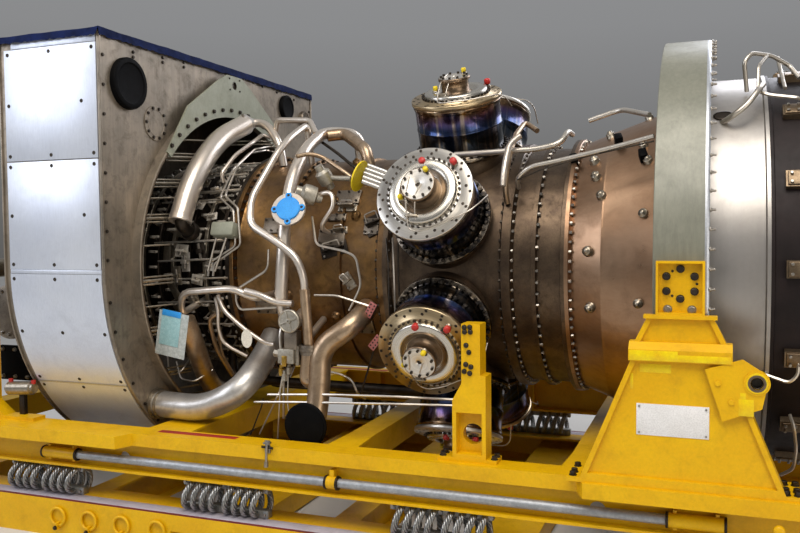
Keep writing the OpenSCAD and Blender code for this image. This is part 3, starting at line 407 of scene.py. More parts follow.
# The cans run from grey and black at the foot through blue and purple to straw under the cover
# the pale streaks on these cans are painted highlights
BLUED_CAN = HeatTinted("heat_blued_can", "#201D24", "#2C2832", "#0F0D10", 1.0, (0.13, 0.26), 90.0,
                       Grain.ALONG_Z, 9.0, 0.5, 0.3, 0.04,
                       bands=((0.0, "#8F8476"), (0.075, "#80766A"), (0.085, "#322D2A"), (0.3, "#3E4650"),
                              (0.55, "#40507A"), (0.72, "#5A4A70"), (0.86, "#6E5540"), (1.0, "#A58A68")))


# Modelling helpers


def deselect() -> None:
    """Leaves nothing selected."""
    bpy.ops.object.select_all(action="DESELECT")


def activate(piece: Piece) -> None:
    """Makes one object the only selected and the active one.

    Args:
        piece: The object.
    """
    deselect()
    piece.select_set(True)
    bpy.context.view_layer.objects.active = piece


def settle(piece: Piece, name: str, finish: Finish,
           smooth: float | None = 35.0) -> Piece:
    """Names a piece, applies its place and gives it a finish.

    Args:
        piece: The object to settle.
        name: Its name, also for its mesh.
        finish: Finish of its only material slot.
        smooth: Angle in degrees under which edges are shaded smooth, or None for flat faces.

    Returns:
        The same object.
    """
    activate(piece)
    bpy.ops.object.transform_apply(location=True, rotation=True, scale=True)
    if smooth is not None:
        bpy.ops.object.shade_smooth_by_angle(angle=math.radians(smooth))
    piece.name = name
    piece.data.name = name
    piece.data.materials.clear()
    piece.data.materials.append(finish.material())
    return piece


def mount(piece: Piece, *nodes: str, slot: str | None = None) -> Piece:
    """Rides a finished piece on the stand and lets it stand for CAD nodes.

    Args:
        piece: The finished object.
        *nodes: CAD nodes that it replaces.
        slot: Not used.

    Returns:
        The same object.
    """
    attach(piece, BODY)
    if nodes:
        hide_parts(*nodes)
    LOG.info("made %s with %d faces", piece.name, len(piece.data.polygons))
    return piece


def lathe(name: str, outline: Outline, finish: Finish, steps: int = 96, sweep: float = 360.0,
          smooth: float = 35.0) -> Piece:
    """Turns an outline about the Z axis, as on a lathe.

    Args:
        name: Name of the piece.
        outline: Radius and height of each point, in metres.
        finish: The finish.
        steps: Segments of a full turn.
        sweep: Degrees turned.
        smooth: Smoothing angle in degrees.

    Returns:
        The piece, on the Z axis.
    """
    deselect()
    bpy.ops.mesh.primitive_circle_add(vertices=3, radius=0.001)
    piece = bpy.context.active_object
    bpy.ops.object.mode_set(mode="EDIT")
    bpy.ops.mesh.select_all(action="SELECT")
    bpy.ops.mesh.merge(type="CENTER")
    at = (0.0, 0.0)
    for point in outline:
        step = (point[0] - at[0], 0.0, point[1] - at[1])
        if at == (0.0, 0.0) and point == outline[0]:
            bpy.ops.transform.translate(value=step)
        else:
            bpy.ops.mesh.extrude_region_move(TRANSFORM_OT_translate={"value": step})
        at = point
    bpy.ops.mesh.select_all(action="SELECT")
    full = sweep >= 360.0
    bpy.ops.mesh.spin(steps=max(3, round(steps * sweep / 360)), angle=math.radians(sweep), center=(0, 0, 0),
                      axis=(0, 0, 1), use_auto_merge=full)
    bpy.ops.mesh.select_all(action="SELECT")
    bpy.ops.mesh.remove_doubles(threshold=0.00005)
    bpy.ops.mesh.normals_make_consistent(inside=False)
    bpy.ops.object.mode_set(mode="OBJECT")
    return settle(piece, name, finish, smooth)


def on_axis(piece: Piece, roll: float = 0.0) -> Piece:
    """Turns a piece made on the Z axis onto the engine's axis.

    Args:
        piece: The piece, its heights being stations along X.
        roll: Degrees it turns about the engine's axis.

    Returns:
        The same object.
    """
    piece.data.transform(Matrix.Translation((0, 0, AXIS_H)) @ Matrix.Rotation(math.radians(roll), 4, "X")
                         @ Matrix.Rotation(math.pi / 2, 4, "Y"))
    return piece


def rounded(points: Sequence[Point], bend: float, steps: int = 6) -> list[Vector]:
    """Rounds the corners of a route.

    Args:
        points: Corners of the route.
        bend: Distance from each corner at which its bend starts.
        steps: Points along each bend.

    Returns:
        The route's points.
    """
    corners = [Vector(p) for p in points]
    route = [corners[0]]
    for before, here, after in zip(corners, corners[1:], corners[2:]):
        reach = min(bend, 0.48 * (before - here).length, 0.48 * (after - here).length)
        start = here + (before - here).normalized() * reach
        end = here + (after - here).normalized() * reach
        for k in range(steps + 1):
            t = k / steps
            route.append(start.lerp(here, t).lerp(here.lerp(end, t), t))
    route.append(corners[-1])
    return route


def tube(name: str, points: Sequence[Point], diameter: float, finish: Finish, bend: float = 0.05,
         sides: int = 12, steps: int = 6) -> Piece:
    """Bends a round tube along a route.

    Args:
        name: Name of the piece.
        points: Corners of the route, in metres.
        diameter: Outer diameter.
        finish: The finish.
        bend: How far from a corner its bend starts.
        sides: Sides of the tube, a multiple of four.
        steps: Points along each bend.

    Returns:
        The tube as a mesh with closed ends.
    """
    route = rounded(points, bend, steps)
    deselect()
    bpy.ops.curve.primitive_bezier_curve_add()
    piece = bpy.context.active_object
    line = piece.data
    line.splines.clear()
    spline = line.splines.new("POLY")
    spline.points.add(len(route) - 1)
    for place, point in zip(spline.points, route):
        place.co = (*point, 1.0)
    line.dimensions = "3D"
    line.bevel_depth = diameter / 2
    line.bevel_resolution = max(0, sides // 4 - 1)
    line.use_fill_caps = True
    bpy.ops.object.convert(target="MESH")
    return settle(bpy.context.active_object, name, finish, 50.0)


def block(name: str, low: Point, high: Point, finish: Finish, edge: float = 0.002) -> Piece:
    """Makes a machined block with chamfered edges.

    Args:
        name: Name of the piece.
        low: Its lowest corner.
        high: Its highest corner.
        finish: The finish.
        edge: Width of the chamfer.

    Returns:
        The block.
    """
    deselect()
    middle = [(a + b) / 2 for a, b in zip(low, high)]
    bpy.ops.mesh.primitive_cube_add(size=1, location=middle)
    piece = bpy.context.active_object
    piece.scale = [b - a for a, b in zip(low, high)]
    bpy.ops.object.transform_apply(location=True, rotation=True, scale=True)
    bpy.ops.object.mode_set(mode="EDIT")
    bpy.ops.mesh.select_all(action="SELECT")
    bpy.ops.mesh.bevel(offset=edge, segments=2, affect="EDGES")
    bpy.ops.object.mode_set(mode="OBJECT")
    return settle(piece, name, finish)


def bolt(name: str, size: float, height: float, finish: Finish, washer: bool = True) -> Piece:
    """Makes a hexagon bolt head on its washer, standing on Z zero.

    Args:
        name: Name of the piece.
        size: Width over its corners.
        height: Height of the head.
        finish: The finish.
        washer: Whether it stands on a washer.

    Returns:
        The head.
    """
    deselect()
    bpy.ops.mesh.primitive_cylinder_add(vertices=6, radius=size / 2, depth=height,
                                        location=(0, 0, height / 2 + size * 0.06))
    piece = bpy.context.active_object
    bpy.ops.object.transform_apply(location=True)
    bpy.ops.object.mode_set(mode="EDIT")
    bpy.ops.mesh.select_all(action="DESELECT")
    shape = edit_faces(piece)
    for face in shape.faces:
        face.select_set(face.normal.z > 0.9)
    put_back(piece, shape)
    bpy.ops.mesh.inset(thickness=size * 0.07)
    bpy.ops.transform.translate(value=(0, 0, size * 0.05))
    bpy.ops.object.mode_set(mode="OBJECT")
    if not washer:
        return settle(piece, name, finish, None)
    bpy.ops.mesh.primitive_cylinder_add(vertices=12, radius=size * 0.6, depth=size * 0.12,
                                        location=(0, 0, size * 0.06))
    base = bpy.context.active_object
    settle(base, name + "_washer", finish, None)
    settle(piece, name, finish, None)
    return join(name, [piece, base])


def edit_faces(piece: Piece) -> bmesh.types.BMesh:
    """Gives the edit mesh of the object in edit mode, for choosing its faces.

    Args:
        piece: The object in edit mode.

    Returns:
        Its edit mesh with fresh normals.
    """
    shape = bmesh.from_edit_mesh(piece.data)
    shape.normal_update()
    return shape


def put_back(piece: Piece, shape: bmesh.types.BMesh) -> None:
    """Writes the chosen faces back to the object in edit mode."""
    shape.select_flush(True)
    bmesh.update_edit_mesh(piece.data)


def join(name: str, parts: Sequence[Piece]) -> Piece:
    """Joins parts into one object that keeps their finishes and shading.

    Args:
        name: Name of the whole.
        parts: The parts, the first of which stays.

    Returns:
        The joined object.
    """
    deselect()
    for part in parts:
        part.select_set(True)
    bpy.context.view_layer.objects.active = parts[0]
    if len(parts) > 1:
        bpy.ops.object.join()
    whole = bpy.context.active_object
    whole.name = name
    whole.data.name = name
    return whole


def repeat(name: str, model: Piece, places: Iterable[Matrix]) -> Piece:
    """Copies a model to many places as one joined mesh and removes the model.

    Args:
        name: Name of the joined copies.
        model: The piece modelled once, with one finish.
        places: Where each copy goes.

    Returns:
        The joined copies.
    """
    source = model.data
    count, loops, faces = len(source.vertices), len(source.loops), len(source.polygons)
    points = np.empty(count * 3)
    source.vertices.foreach_get("co", points)
    points = np.c_[points.reshape(-1, 3), np.ones(count)]
    corner = np.empty(loops, dtype=np.int64)
    source.loops.foreach_get("vertex_index", corner)
    starts = np.empty(faces, dtype=np.int64)
    source.polygons.foreach_get("loop_start", starts)
    smooth = np.empty(faces, dtype=bool)
    source.polygons.foreach_get("use_smooth", smooth)
    spots = [np.array(place) for place in places]
    made = bpy.data.meshes.new(name)
    made.vertices.add(count * len(spots))
    made.loops.add(loops * len(spots))
    made.polygons.add(faces * len(spots))
    made.vertices.foreach_set("co", np.concatenate([(points @ spot.T)[:, :3] for spot in spots]).ravel())
    made.loops.foreach_set("vertex_index", np.concatenate([corner + k * count for k in range(len(spots))]))
    made.polygons.foreach_set("loop_start", np.concatenate([starts + k * loops for k in range(len(spots))]))
    made.polygons.foreach_set("use_smooth", np.tile(smooth, len(spots)))
    made.materials.append(source.materials[0])
    if LOCAL in source.attributes:
        layer = made.attributes.new(LOCAL, "FLOAT_VECTOR", "POINT")
        layer.data.foreach_set("vector", np.tile(points[:, :3].ravel(), len(spots)))
    made.update(calc_edges=True)
    made.validate()
    bpy.data.objects.remove(model)
    bpy.data.meshes.remove(source)
    whole = bpy.data.objects.new(name, made)
    bpy.context.collection.objects.link(whole)
    return whole


def keep_local(piece: Piece) -> Piece:
    """Stores each vertex's place in the piece's own frame, for patterns that follow the piece.

    Args:
        piece: The piece, still in its own frame.

    Returns:
        The same object.
    """
    places = np.empty(len(piece.data.vertices) * 3)
    piece.data.vertices.foreach_get("co", places)
    layer = piece.data.attributes.new(LOCAL, "FLOAT_VECTOR", "POINT")
    layer.data.foreach_set("vector", places)
    return piece


def facing(place: Point, out: Point, spin: float = 0.0) -> Matrix:
    """Gives the place of a fitting that stands on a surface.

    Args:
        place: Point on the surface.
        out: Direction out of the surface.
        spin: Degrees it turns about that direction.

    Returns:
        The matrix that takes Z to that direction.
    """
    turn = Vector(out).to_track_quat("Z", "Y").to_matrix().to_4x4()
    return Matrix.Translation(place) @ turn @ Matrix.Rotation(math.radians(spin), 4, "Z")


def around(x: float, radius: float, angle: float) -> Vector:
    """Gives a point round the engine's axis.

    Args:
        x: Station along the engine.
        radius: Distance from the axis.
        angle: Degrees over the horizontal, on the near side.

    Returns:
        The point.
    """
    turn = math.radians(angle)
    return Vector((x, -radius * math.cos(turn), AXIS_H + radius * math.sin(turn)))


def outward(angle: float) -> Vector:
    """Gives the direction out from the engine's axis at an angle over the horizontal."""
    turn = math.radians(angle)
    return Vector((0.0, -math.cos(turn), math.sin(turn)))


def on_case(x: float, radius: float, angle: float, spin: float = 0.0) -> Matrix:
    """Gives the place of a fitting that stands out from a round casing.

    Args:
        x: Station along the engine.
        radius: Radius of the casing.
        angle: Degrees over the horizontal, on the near side.
        spin: Degrees it turns about its own axis.

    Returns:
        The matrix that takes Z outwards.
    """
    return facing(around(x, radius, angle), outward(angle), spin)


def ring_of(x: float, radius: float, count: int, out: Point, start: float = 0.0) -> list[Matrix]:
    """Gives evenly spaced places on a ring round the engine's axis.

    Args:
        x: Station along the engine.
        radius: Radius of the ring.
        count: Number of places.
        out: Direction that the fittings point along.
        start: Degrees of the first place.

    Returns:
        One matrix a place.
    """
    return [facing(around(x, radius, start + k * 360 / count), out, k * 17) for k in range(count)]


def circle_on(place: Matrix, radius: float, count: int, start: float = 0.0) -> list[Matrix]:
    """Gives evenly spaced places on a circle round a fitting's own axis.

    Args:
        place: Where the fitting stands.
        radius: Radius of the circle.
        count: Number of places.
        start: Degrees of the first place.

    Returns:
        One matrix a place.
    """
    return [place @ Matrix.Rotation(math.radians(start + k * 360 / count), 4, "Z")
            @ Matrix.Translation((radius, 0, 0)) for k in range(count)]


def can_place(x: float, angle: float) -> Matrix:
    """Gives the frame of a fitting that stands out from the engine's axis.

    Args:
        x: Station along the engine.
        angle: Degrees from straight up towards the near side.

    Returns:
        The matrix that takes Z outwards and X along the engine.
    """
    return Matrix.Translation((x, 0, AXIS_H)) @ Matrix.Rotation(math.radians(angle), 4, "X")


def moved(piece: Piece, place: Matrix) -> Piece:
    """Moves a piece from its own frame to its place.

    Args:
        piece: The piece.
        place: Where it goes.

    Returns:
        The same object.
    """
    piece.data.transform(place)
    return piece


def fasten(name: str, size: float, height: float, finish: Finish, spots: Iterable[Matrix], slot: str) -> None:
    """Sets the same small screw head at many places.

    Args:
        name: Name of the joined heads.
        size: Width over the corners of a head.
        height: Height of a head.
        finish: The finish.
        spots: Where each head goes.
        slot: Not used.
    """
    mount(repeat(name, bolt("head", size, height, finish, False), spots), slot=slot)


def paint(nodes: Iterable[str], finish: Finish) -> None:
    """Gives CAD nodes a procedural finish.

    Args:
        nodes: Names of the nodes.
        finish: The finish for every slot.
    """
    for name in nodes:
        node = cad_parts[name]
        for slot in range(len(node.data.materials)):
            node.data.materials[slot] = finish.material()
        if not node.data.materials:
            node.data.materials.append(finish.material())


# Sub-assemblies


@dataclass
class StandFrame:
    """The yellow welded stand: paint, markings, bolts and placards on the CAD steelwork.

    Attributes:
        deck: Height of the upper rails' tops.
        base_top: Height of the base rails' tops.
        half: Half the length of the stand.
        stripe: Where the red stripe lies on the upper rail along X.
        placard: Lowest and highest X and Z of the bare placard on a tower.
        tower_y: Distance of the towers' faces from the middle.
        recess: Depth of the towers' recessed faces.
        pocket: Distance of the trunnion brackets' pocket floors from the middle.
        bracket: X and Z of the middle of a trunnion bracket's bolts.
        support_face: Distance of the middle supports' bolted faces from the middle.
        support_bolts: X and Z of the bolts on a middle support.
        sleeve: Ends of the sleeves on the side tubes.
        lug_face: Distance of the lifting lugs' faces from the middle.
        eye_face: Distance of the eye bosses' and collars' faces from the middle.
        eye: X and Z of a lifting lug's eye.
        outer_face: Distance of the outermost screwed faces from the middle.
        rail_boss: X and Z of the bosses on the upper rails.
        side_tube: Distance from the middle and Z of the side tubes' axes.
        foot: Thickness of the foot plates on the deck.
        film: Thickness of a paint mark.
        painted: CAD nodes under the yellow enamel.
    """

    deck: float = 0.634
    base_top: float = 0.218
    half: float = 2.85
    stripe: tuple[float, float] = (-1.134, -0.620)
    placard: tuple[float, float, float, float] = (1.527, 1.829, 0.868, 1.008)
    tower_y: float = 1.320
    recess: float = 0.016
    pocket: float = 1.272
    bracket: tuple[float, float] = (RING_MID, 1.5355)
    support_face: float = 1.190
    support_bolts: tuple[tuple[float, float], ...] = (
        (0.705, 1.302), (0.733, 1.303), (0.707, 1.279), (0.736, 1.280), (0.714, 1.214), (0.728, 1.180),
        (0.738, 1.109), (0.732, 1.077), (0.712, 1.120), (0.704, 1.085))
    sleeve: tuple[float, float] = (1.655, 1.900)
    lug_face: float = 1.330
    eye_face: float = 1.335
    eye: tuple[float, float] = (2.015, 1.126)
    outer_face: float = 1.331
    rail_boss: tuple[float, float] = (2.106, 0.512)
    side_tube: tuple[float, float] = (1.226, 0.473)
    foot: float = 0.020
    film: float = 0.0008
    painted: tuple[str, ...] = ("base_rails", "base_cross_members", "fork_tunnels", "upper_rails",
                                "upper_cross_members", "lashing_rings", "tube_brackets",
                                "front_supports", "middle_supports", "trunnion_towers",
                                "lifting_lugs", "trunnion_brackets")

    def markings(self, side: Side) -> None:
        """Lays the pale strip, its maroon edge and the red stripe on one side.

        Args:
            side: The side of the stand.
        """
        s, name = side.value, side.name.lower()
        for label, y, z, x, finish in (
                ("pale_strip", (1.277, 1.187), self.base_top, (-self.half, self.half), PALE_PAINT),
                ("maroon_edge", (1.3006, 1.277), self.base_top, (-self.half, self.half), MAROON_PAINT),
                ("red_stripe", (1.165, 1.115), self.deck, self.stripe, RED_PAINT)):
            low, high = sorted((s * y[0], s * y[1]))
            mount(block(f"{label}_{name}", (x[0], low, z), (x[1], high, z + self.film), finish, 0.0002),
                  slot="stand_yellow")

    def bolts(self) -> None:
        """Sets the dark bolts on foot plates, supports, brackets and lashing lugs."""
        large: list[Matrix] = []
        small: list[Matrix] = []
        nuts: list[Matrix] = []
        up, (mid_x, mid_z) = (0.0, 0.0, 1.0), self.bracket
        for s in (-1, 1):
            out = (0.0, float(s), 0.0)
            for x in (1.247, 1.30, 2.135, 2.180):
                large += [facing((x, s * y, self.deck + self.foot), up, 25) for y in (1.14, 1.24, 1.29)]
            for x in (0.585, 0.848):
                large += [facing((x, s * y, self.deck + self.foot), up, 10) for y in (1.115, 1.165)]
            small += [facing((x, s * self.support_face, z), out, 12) for x, z in self.support_bolts]
            small += [facing((e * x, s * self.outer_face, 0.06), out, 5)
                      for x in (1.045, 1.285, 1.515, 1.740) for e in (-1, 1)]
            for k in range(6):
                turn = math.radians(30 + 60 * k)
                x, z = mid_x + 0.067 * math.cos(turn), mid_z + 0.065 * math.sin(turn)
                large.append(facing((x, s * self.pocket, z), out, 20 * k))
            nuts += [facing((mid_x + dx, s * self.pocket, mid_z + dz), out, 9)
                     for dx, dz in ((-0.052, -0.112), (0.048, -0.112))]
        # painted shade: flat dark discs stand in for the bracket holes
        hole = lathe("hole", [(0.006, 0.0004), (0.005, 0.0008), (0.0, 0.0006)], DARK_STEEL, 12)
        holes = [facing((mid_x + dx, s * self.pocket, mid_z + dz), (0, s, 0)) for s in (-1, 1)
                 for dx, dz in ((-0.033, 0.055), (0.068, 0.0), (-0.034, -0.053))]
        for name, model, spots in (("stand_bolts", bolt("head", 0.030, 0.016, BOLT_DARK), large),
                                   ("stand_screws", bolt("head", 0.022, 0.009, BOLT_DARK), small),
                                   ("bracket_nuts", bolt("nut", 0.032, 0.008, FITTING_STEEL), nuts),
                                   ("bracket_holes", hole, holes)):
            mount(repeat(name, model, spots), slot="stand_yellow")

    def touch_up(self, side: Side) -> None:
        """Lays the brush-touched patches, the bare placard and its rivets on one tower.

        Args:
            side: The side of the stand.
        """
        s, name = side.value, side.name.lower()
        x0, x1, z0, z1 = self.placard
        sunk = self.tower_y - self.recess
        patches = []
        for k, (y, a, b, low, high) in enumerate((
                (self.eye_face, 1.498, 1.700, 1.203, 1.247), (self.eye_face, 1.700, 1.914, 1.203, 1.232),
                (sunk, 1.540, 1.672, 1.146, 1.184), (sunk, 1.500, 1.513, 1.070, 1.140),
                (self.lug_face, 1.944, 2.004, 0.985, 1.056), (self.lug_face, 1.950, 1.972, 1.056, 1.082))):
            near, far = sorted((s * y, s * (y + self.film)))
            patches.append(block(f"patch_{k}", (a, near, low), (b, far, high), FRESH_ENAMEL, 0.0003))
        mount(join(f"touch_up_{name}", patches), slot="stand_yellow")
        eye_x, eye_z = self.eye
        insert = lathe(f"eye_insert_{name}", [
            (0.0252, -0.030), (0.0252, 0.0), (0.0262, 0.003), (0.0400, 0.003), (0.0415, 0.002),
            (0.0430, 0.0)], RIM_STEEL, 40)
        ridges = [(0.0248 if k % 2 else 0.0215, -0.030 + 0.003 * k) for k in range(11)]
        thread = lathe("thread", ridges, DARK_STEEL, 40)
        plug = lathe("plug", [(0.0215, -0.028), (0.0, -0.028)], BOLT_DARK, 40)
        ring = lathe("lemon_ring", [(0.0365, 0.0036), (0.0425, 0.0036), (0.0440, 0.0)], FRESH_ENAMEL, 40)
        whole = join(f"eye_insert_{name}", [insert, thread, plug, ring])
        mount(moved(whole, facing((eye_x, s * self.eye_face, eye_z), (0, s, 0))), slot="stand_yellow")
        near, far = sorted((s * sunk, s * (sunk + 0.003)))
        plate = block(f"placard_{name}", (x0, near, z0), (x1, far, z1), WHITE_PLATE, 0.0008)
        mount(plate, slot="stand_yellow")
        out = (0, s, 0)
        heads = [facing((x, s * self.lug_face, z), out) for x, z in ((1.862, 1.118), (1.916, 1.040))]
        fasten(f"lug_heads_{name}", 0.026, 0.005, ENAMEL, heads, "stand_yellow")
        rivets = [facing((x, s * (sunk + 0.003), z), out)
                  for x in (x0 + 0.012, x1 - 0.012) for z in (z0 + 0.012, z1 - 0.012)]
        fasten(f"placard_rivets_{name}", 0.010, 0.003, BOLT_BRIGHT, rivets, "stand_yellow")

    def latch(self) -> None:
        """Hangs the plated toggle latch on the near upper rail."""
        parts = [block("plate", (-0.384, -1.248, 0.600), (-0.352, -1.240, 0.668), BOLT_BRIGHT, 0.002),
                 block("top", (-0.388, -1.262, 0.650), (-0.348, -1.236, 0.660), BOLT_BRIGHT, 0.002),
                 tube("arm", [(-0.366, -1.256, 0.655), (-0.368, -1.260, 0.600), (-0.372, -1.256, 0.535)],
                      0.013, BOLT_BRIGHT, 0.02, 12),
                 tube("ferrule", [(-0.3715, -1.2562, 0.556), (-0.373, -1.2558, 0.528)], 0.024,
                      FITTING_STEEL, 0.0, 12),
                 tube("pin", [(-0.400, -1.252, 0.634), (-0.334, -1.252, 0.630)], 0.014, DARK_STEEL, 0.0, 12)]
        mount(join("rail_latch", parts), slot="galvanised")

    def build(self) -> None:
        """Builds all of the stand's dressing."""
        paint(self.painted, ENAMEL)
        paint(("side_tubes",), GALVANISED)
        paint(("front_trunnions",), FITTING_STEEL)
        for side in Side:
            self.markings(side)
            self.touch_up(side)
        self.bolts()
        self.latch()
        (boss_x, boss_z), (tube_y, tube_z) = self.rail_boss, self.side_tube
        bosses = [facing((boss_x, s * self.outer_face, boss_z), (0, s, 0)) for s in (-1, 1)]
        boss = lathe("boss", [(0.0, 0.018), (0.018, 0.018), (0.022, 0.014), (0.024, 0.0)], ENAMEL, 24)
        mount(repeat("rail_bosses", boss, bosses), slot="stand_yellow")
        clamps = [facing((e * x, s * tube_y, tube_z), (1, 0, 0)) for s in (-1, 1) for e in (-1, 1)
                  for x in (*self.sleeve, 0.032)]
        clamp = lathe("clamp", [
            (0.0245, -0.006), (0.036, -0.006), (0.038, 0.0), (0.036, 0.006), (0.0245, 0.006)],
            DARK_STEEL, 24)
        mount(repeat("tube_clamps", clamp, clamps), slot="galvanised")


@dataclass
class RopeIsolators:
    """Wire rope isolators: thick twisted loops between pairs of clamped retainer bars.

    Attributes:
        centres: Stations of the isolators along X.
        y: Distance of the isolators from the middle.
        floor: Height of the base rail that they stand on.
        height: Height of an isolator.
        length: Length of its bars.
        bar: Width and height of a bar.
        rope: Diameter of the rope.
        pitch: Distance between loops.
        group: Distance of a group of four loops from the isolator's middle.
        slant: Slant of the loops in degrees.
        strands: Strands in the rope.
        lay: Turns of the strands along half a loop.
        strand_width: Diameter of a strand as a share of the rope's.
        strand_offset: Distance of a strand from the rope's middle as a share of its diameter.
        steps: Segments along half a loop.
    """

    centres: tuple[float, ...] = (-1.925, -0.675, 0.575, 1.825)
    y: float = 1.165
    floor: float = 0.218
    height: float = 0.181
    length: float = 0.540
    bar: tuple[float, float] = (0.044, 0.044)
    rope: float = 0.036
    pitch: float = 0.058
    group: float = 0.1305
    slant: float = 14.0
    strands: int = 5
    lay: float = 1.9
    strand_width: float = 0.36
    strand_offset: float = 0.32
    steps: int = 28

    def strand(self, index: int) -> Piece:
        """Winds one strand of half a loop.

        Args:
            index: Number of the strand.

        Returns:
            The strand, centred on the isolator's middle height.
        """
        lean = math.radians(self.slant)
        radius = (self.height - self.bar[1]) / 2 / math.cos(lean)
        across = Vector((math.cos(lean), 0.0, -math.sin(lean)))
        points = []
        for k in range(self.steps + 1):
            t = math.pi * k / self.steps
            out = Vector((math.cos(t) * math.sin(lean), -math.sin(t), math.cos(t) * math.cos(lean)))
            turn = 2 * math.pi * (index / self.strands + self.lay * k / self.steps)
            wind = out * math.cos(turn) + across * math.sin(turn)
            points.append(out * radius + wind * self.rope * self.strand_offset)
        return tube(f"strand_{index}", points, self.rope * self.strand_width, ROPE_WIRE, 0.0, 8)

    def loops(self) -> list[Matrix]:
        """Gives the place of each half loop of one isolator.

        Returns:
            One matrix a half loop.
        """
        return [Matrix.Translation((group * self.group + i * self.pitch, 0, 0))
                @ Matrix.Rotation(side, 4, "Z") @ Matrix.Translation((0, -self.bar[0] / 2, 0))
                for group in (-1, 1) for i in (-1.5, -0.5, 0.5, 1.5) for side in (0.0, math.pi)]

    def build(self) -> None:
        """Builds both rows of isolators."""
        w, h = self.bar
        reach = self.height / 2
        far = self.group + 2.1 * self.pitch
        ends = (-far, 0.0, far)
        for side in Side:
            s, name = side.value, side.name.lower()
            spots = [Matrix.Translation((x, s * self.y, self.floor + reach)) for x in self.centres]
            half = join("half_loop", [self.strand(k) for k in range(self.strands)])
            ropes = repeat(f"rope_loops_{name}", half, [p @ q for p in spots for q in self.loops()])
            bars = join("bars", [
                block(f"bar_{k}", (-self.length / 2, -w / 2, z), (self.length / 2, w / 2, z + h), BAR_STEEL,
                0.003) for k, z in enumerate((-reach, reach - h))])
            bars = repeat(f"isolator_bars_{name}", bars, spots)
            caps = join("ends", [
                block(f"end_{k}", (x - 0.012, -w / 2 - 0.004, z + 0.002),
                (x + 0.012, w / 2 + 0.004, z + h - 0.002), GALVANISED, 0.003)
                for k, (x, z) in enumerate((x, z) for x in ends for z in (-reach, reach - h))])
            caps = repeat(f"isolator_ends_{name}", caps, spots)
            heads = [p @ facing((x, s * (w / 2 + 0.004), z), (0, s, 0), 8) for p in spots for x in ends
                     for z in (-reach + h / 2, reach - h / 2)]
            screws = repeat(f"isolator_screws_{name}", bolt("head", 0.019, 0.010, BOLT_BRIGHT, False), heads)
            mount(ropes, f"isolators_{name}", slot="wire_rope")
            for piece in (bars, caps, screws):
                mount(piece, slot="wire_rope")


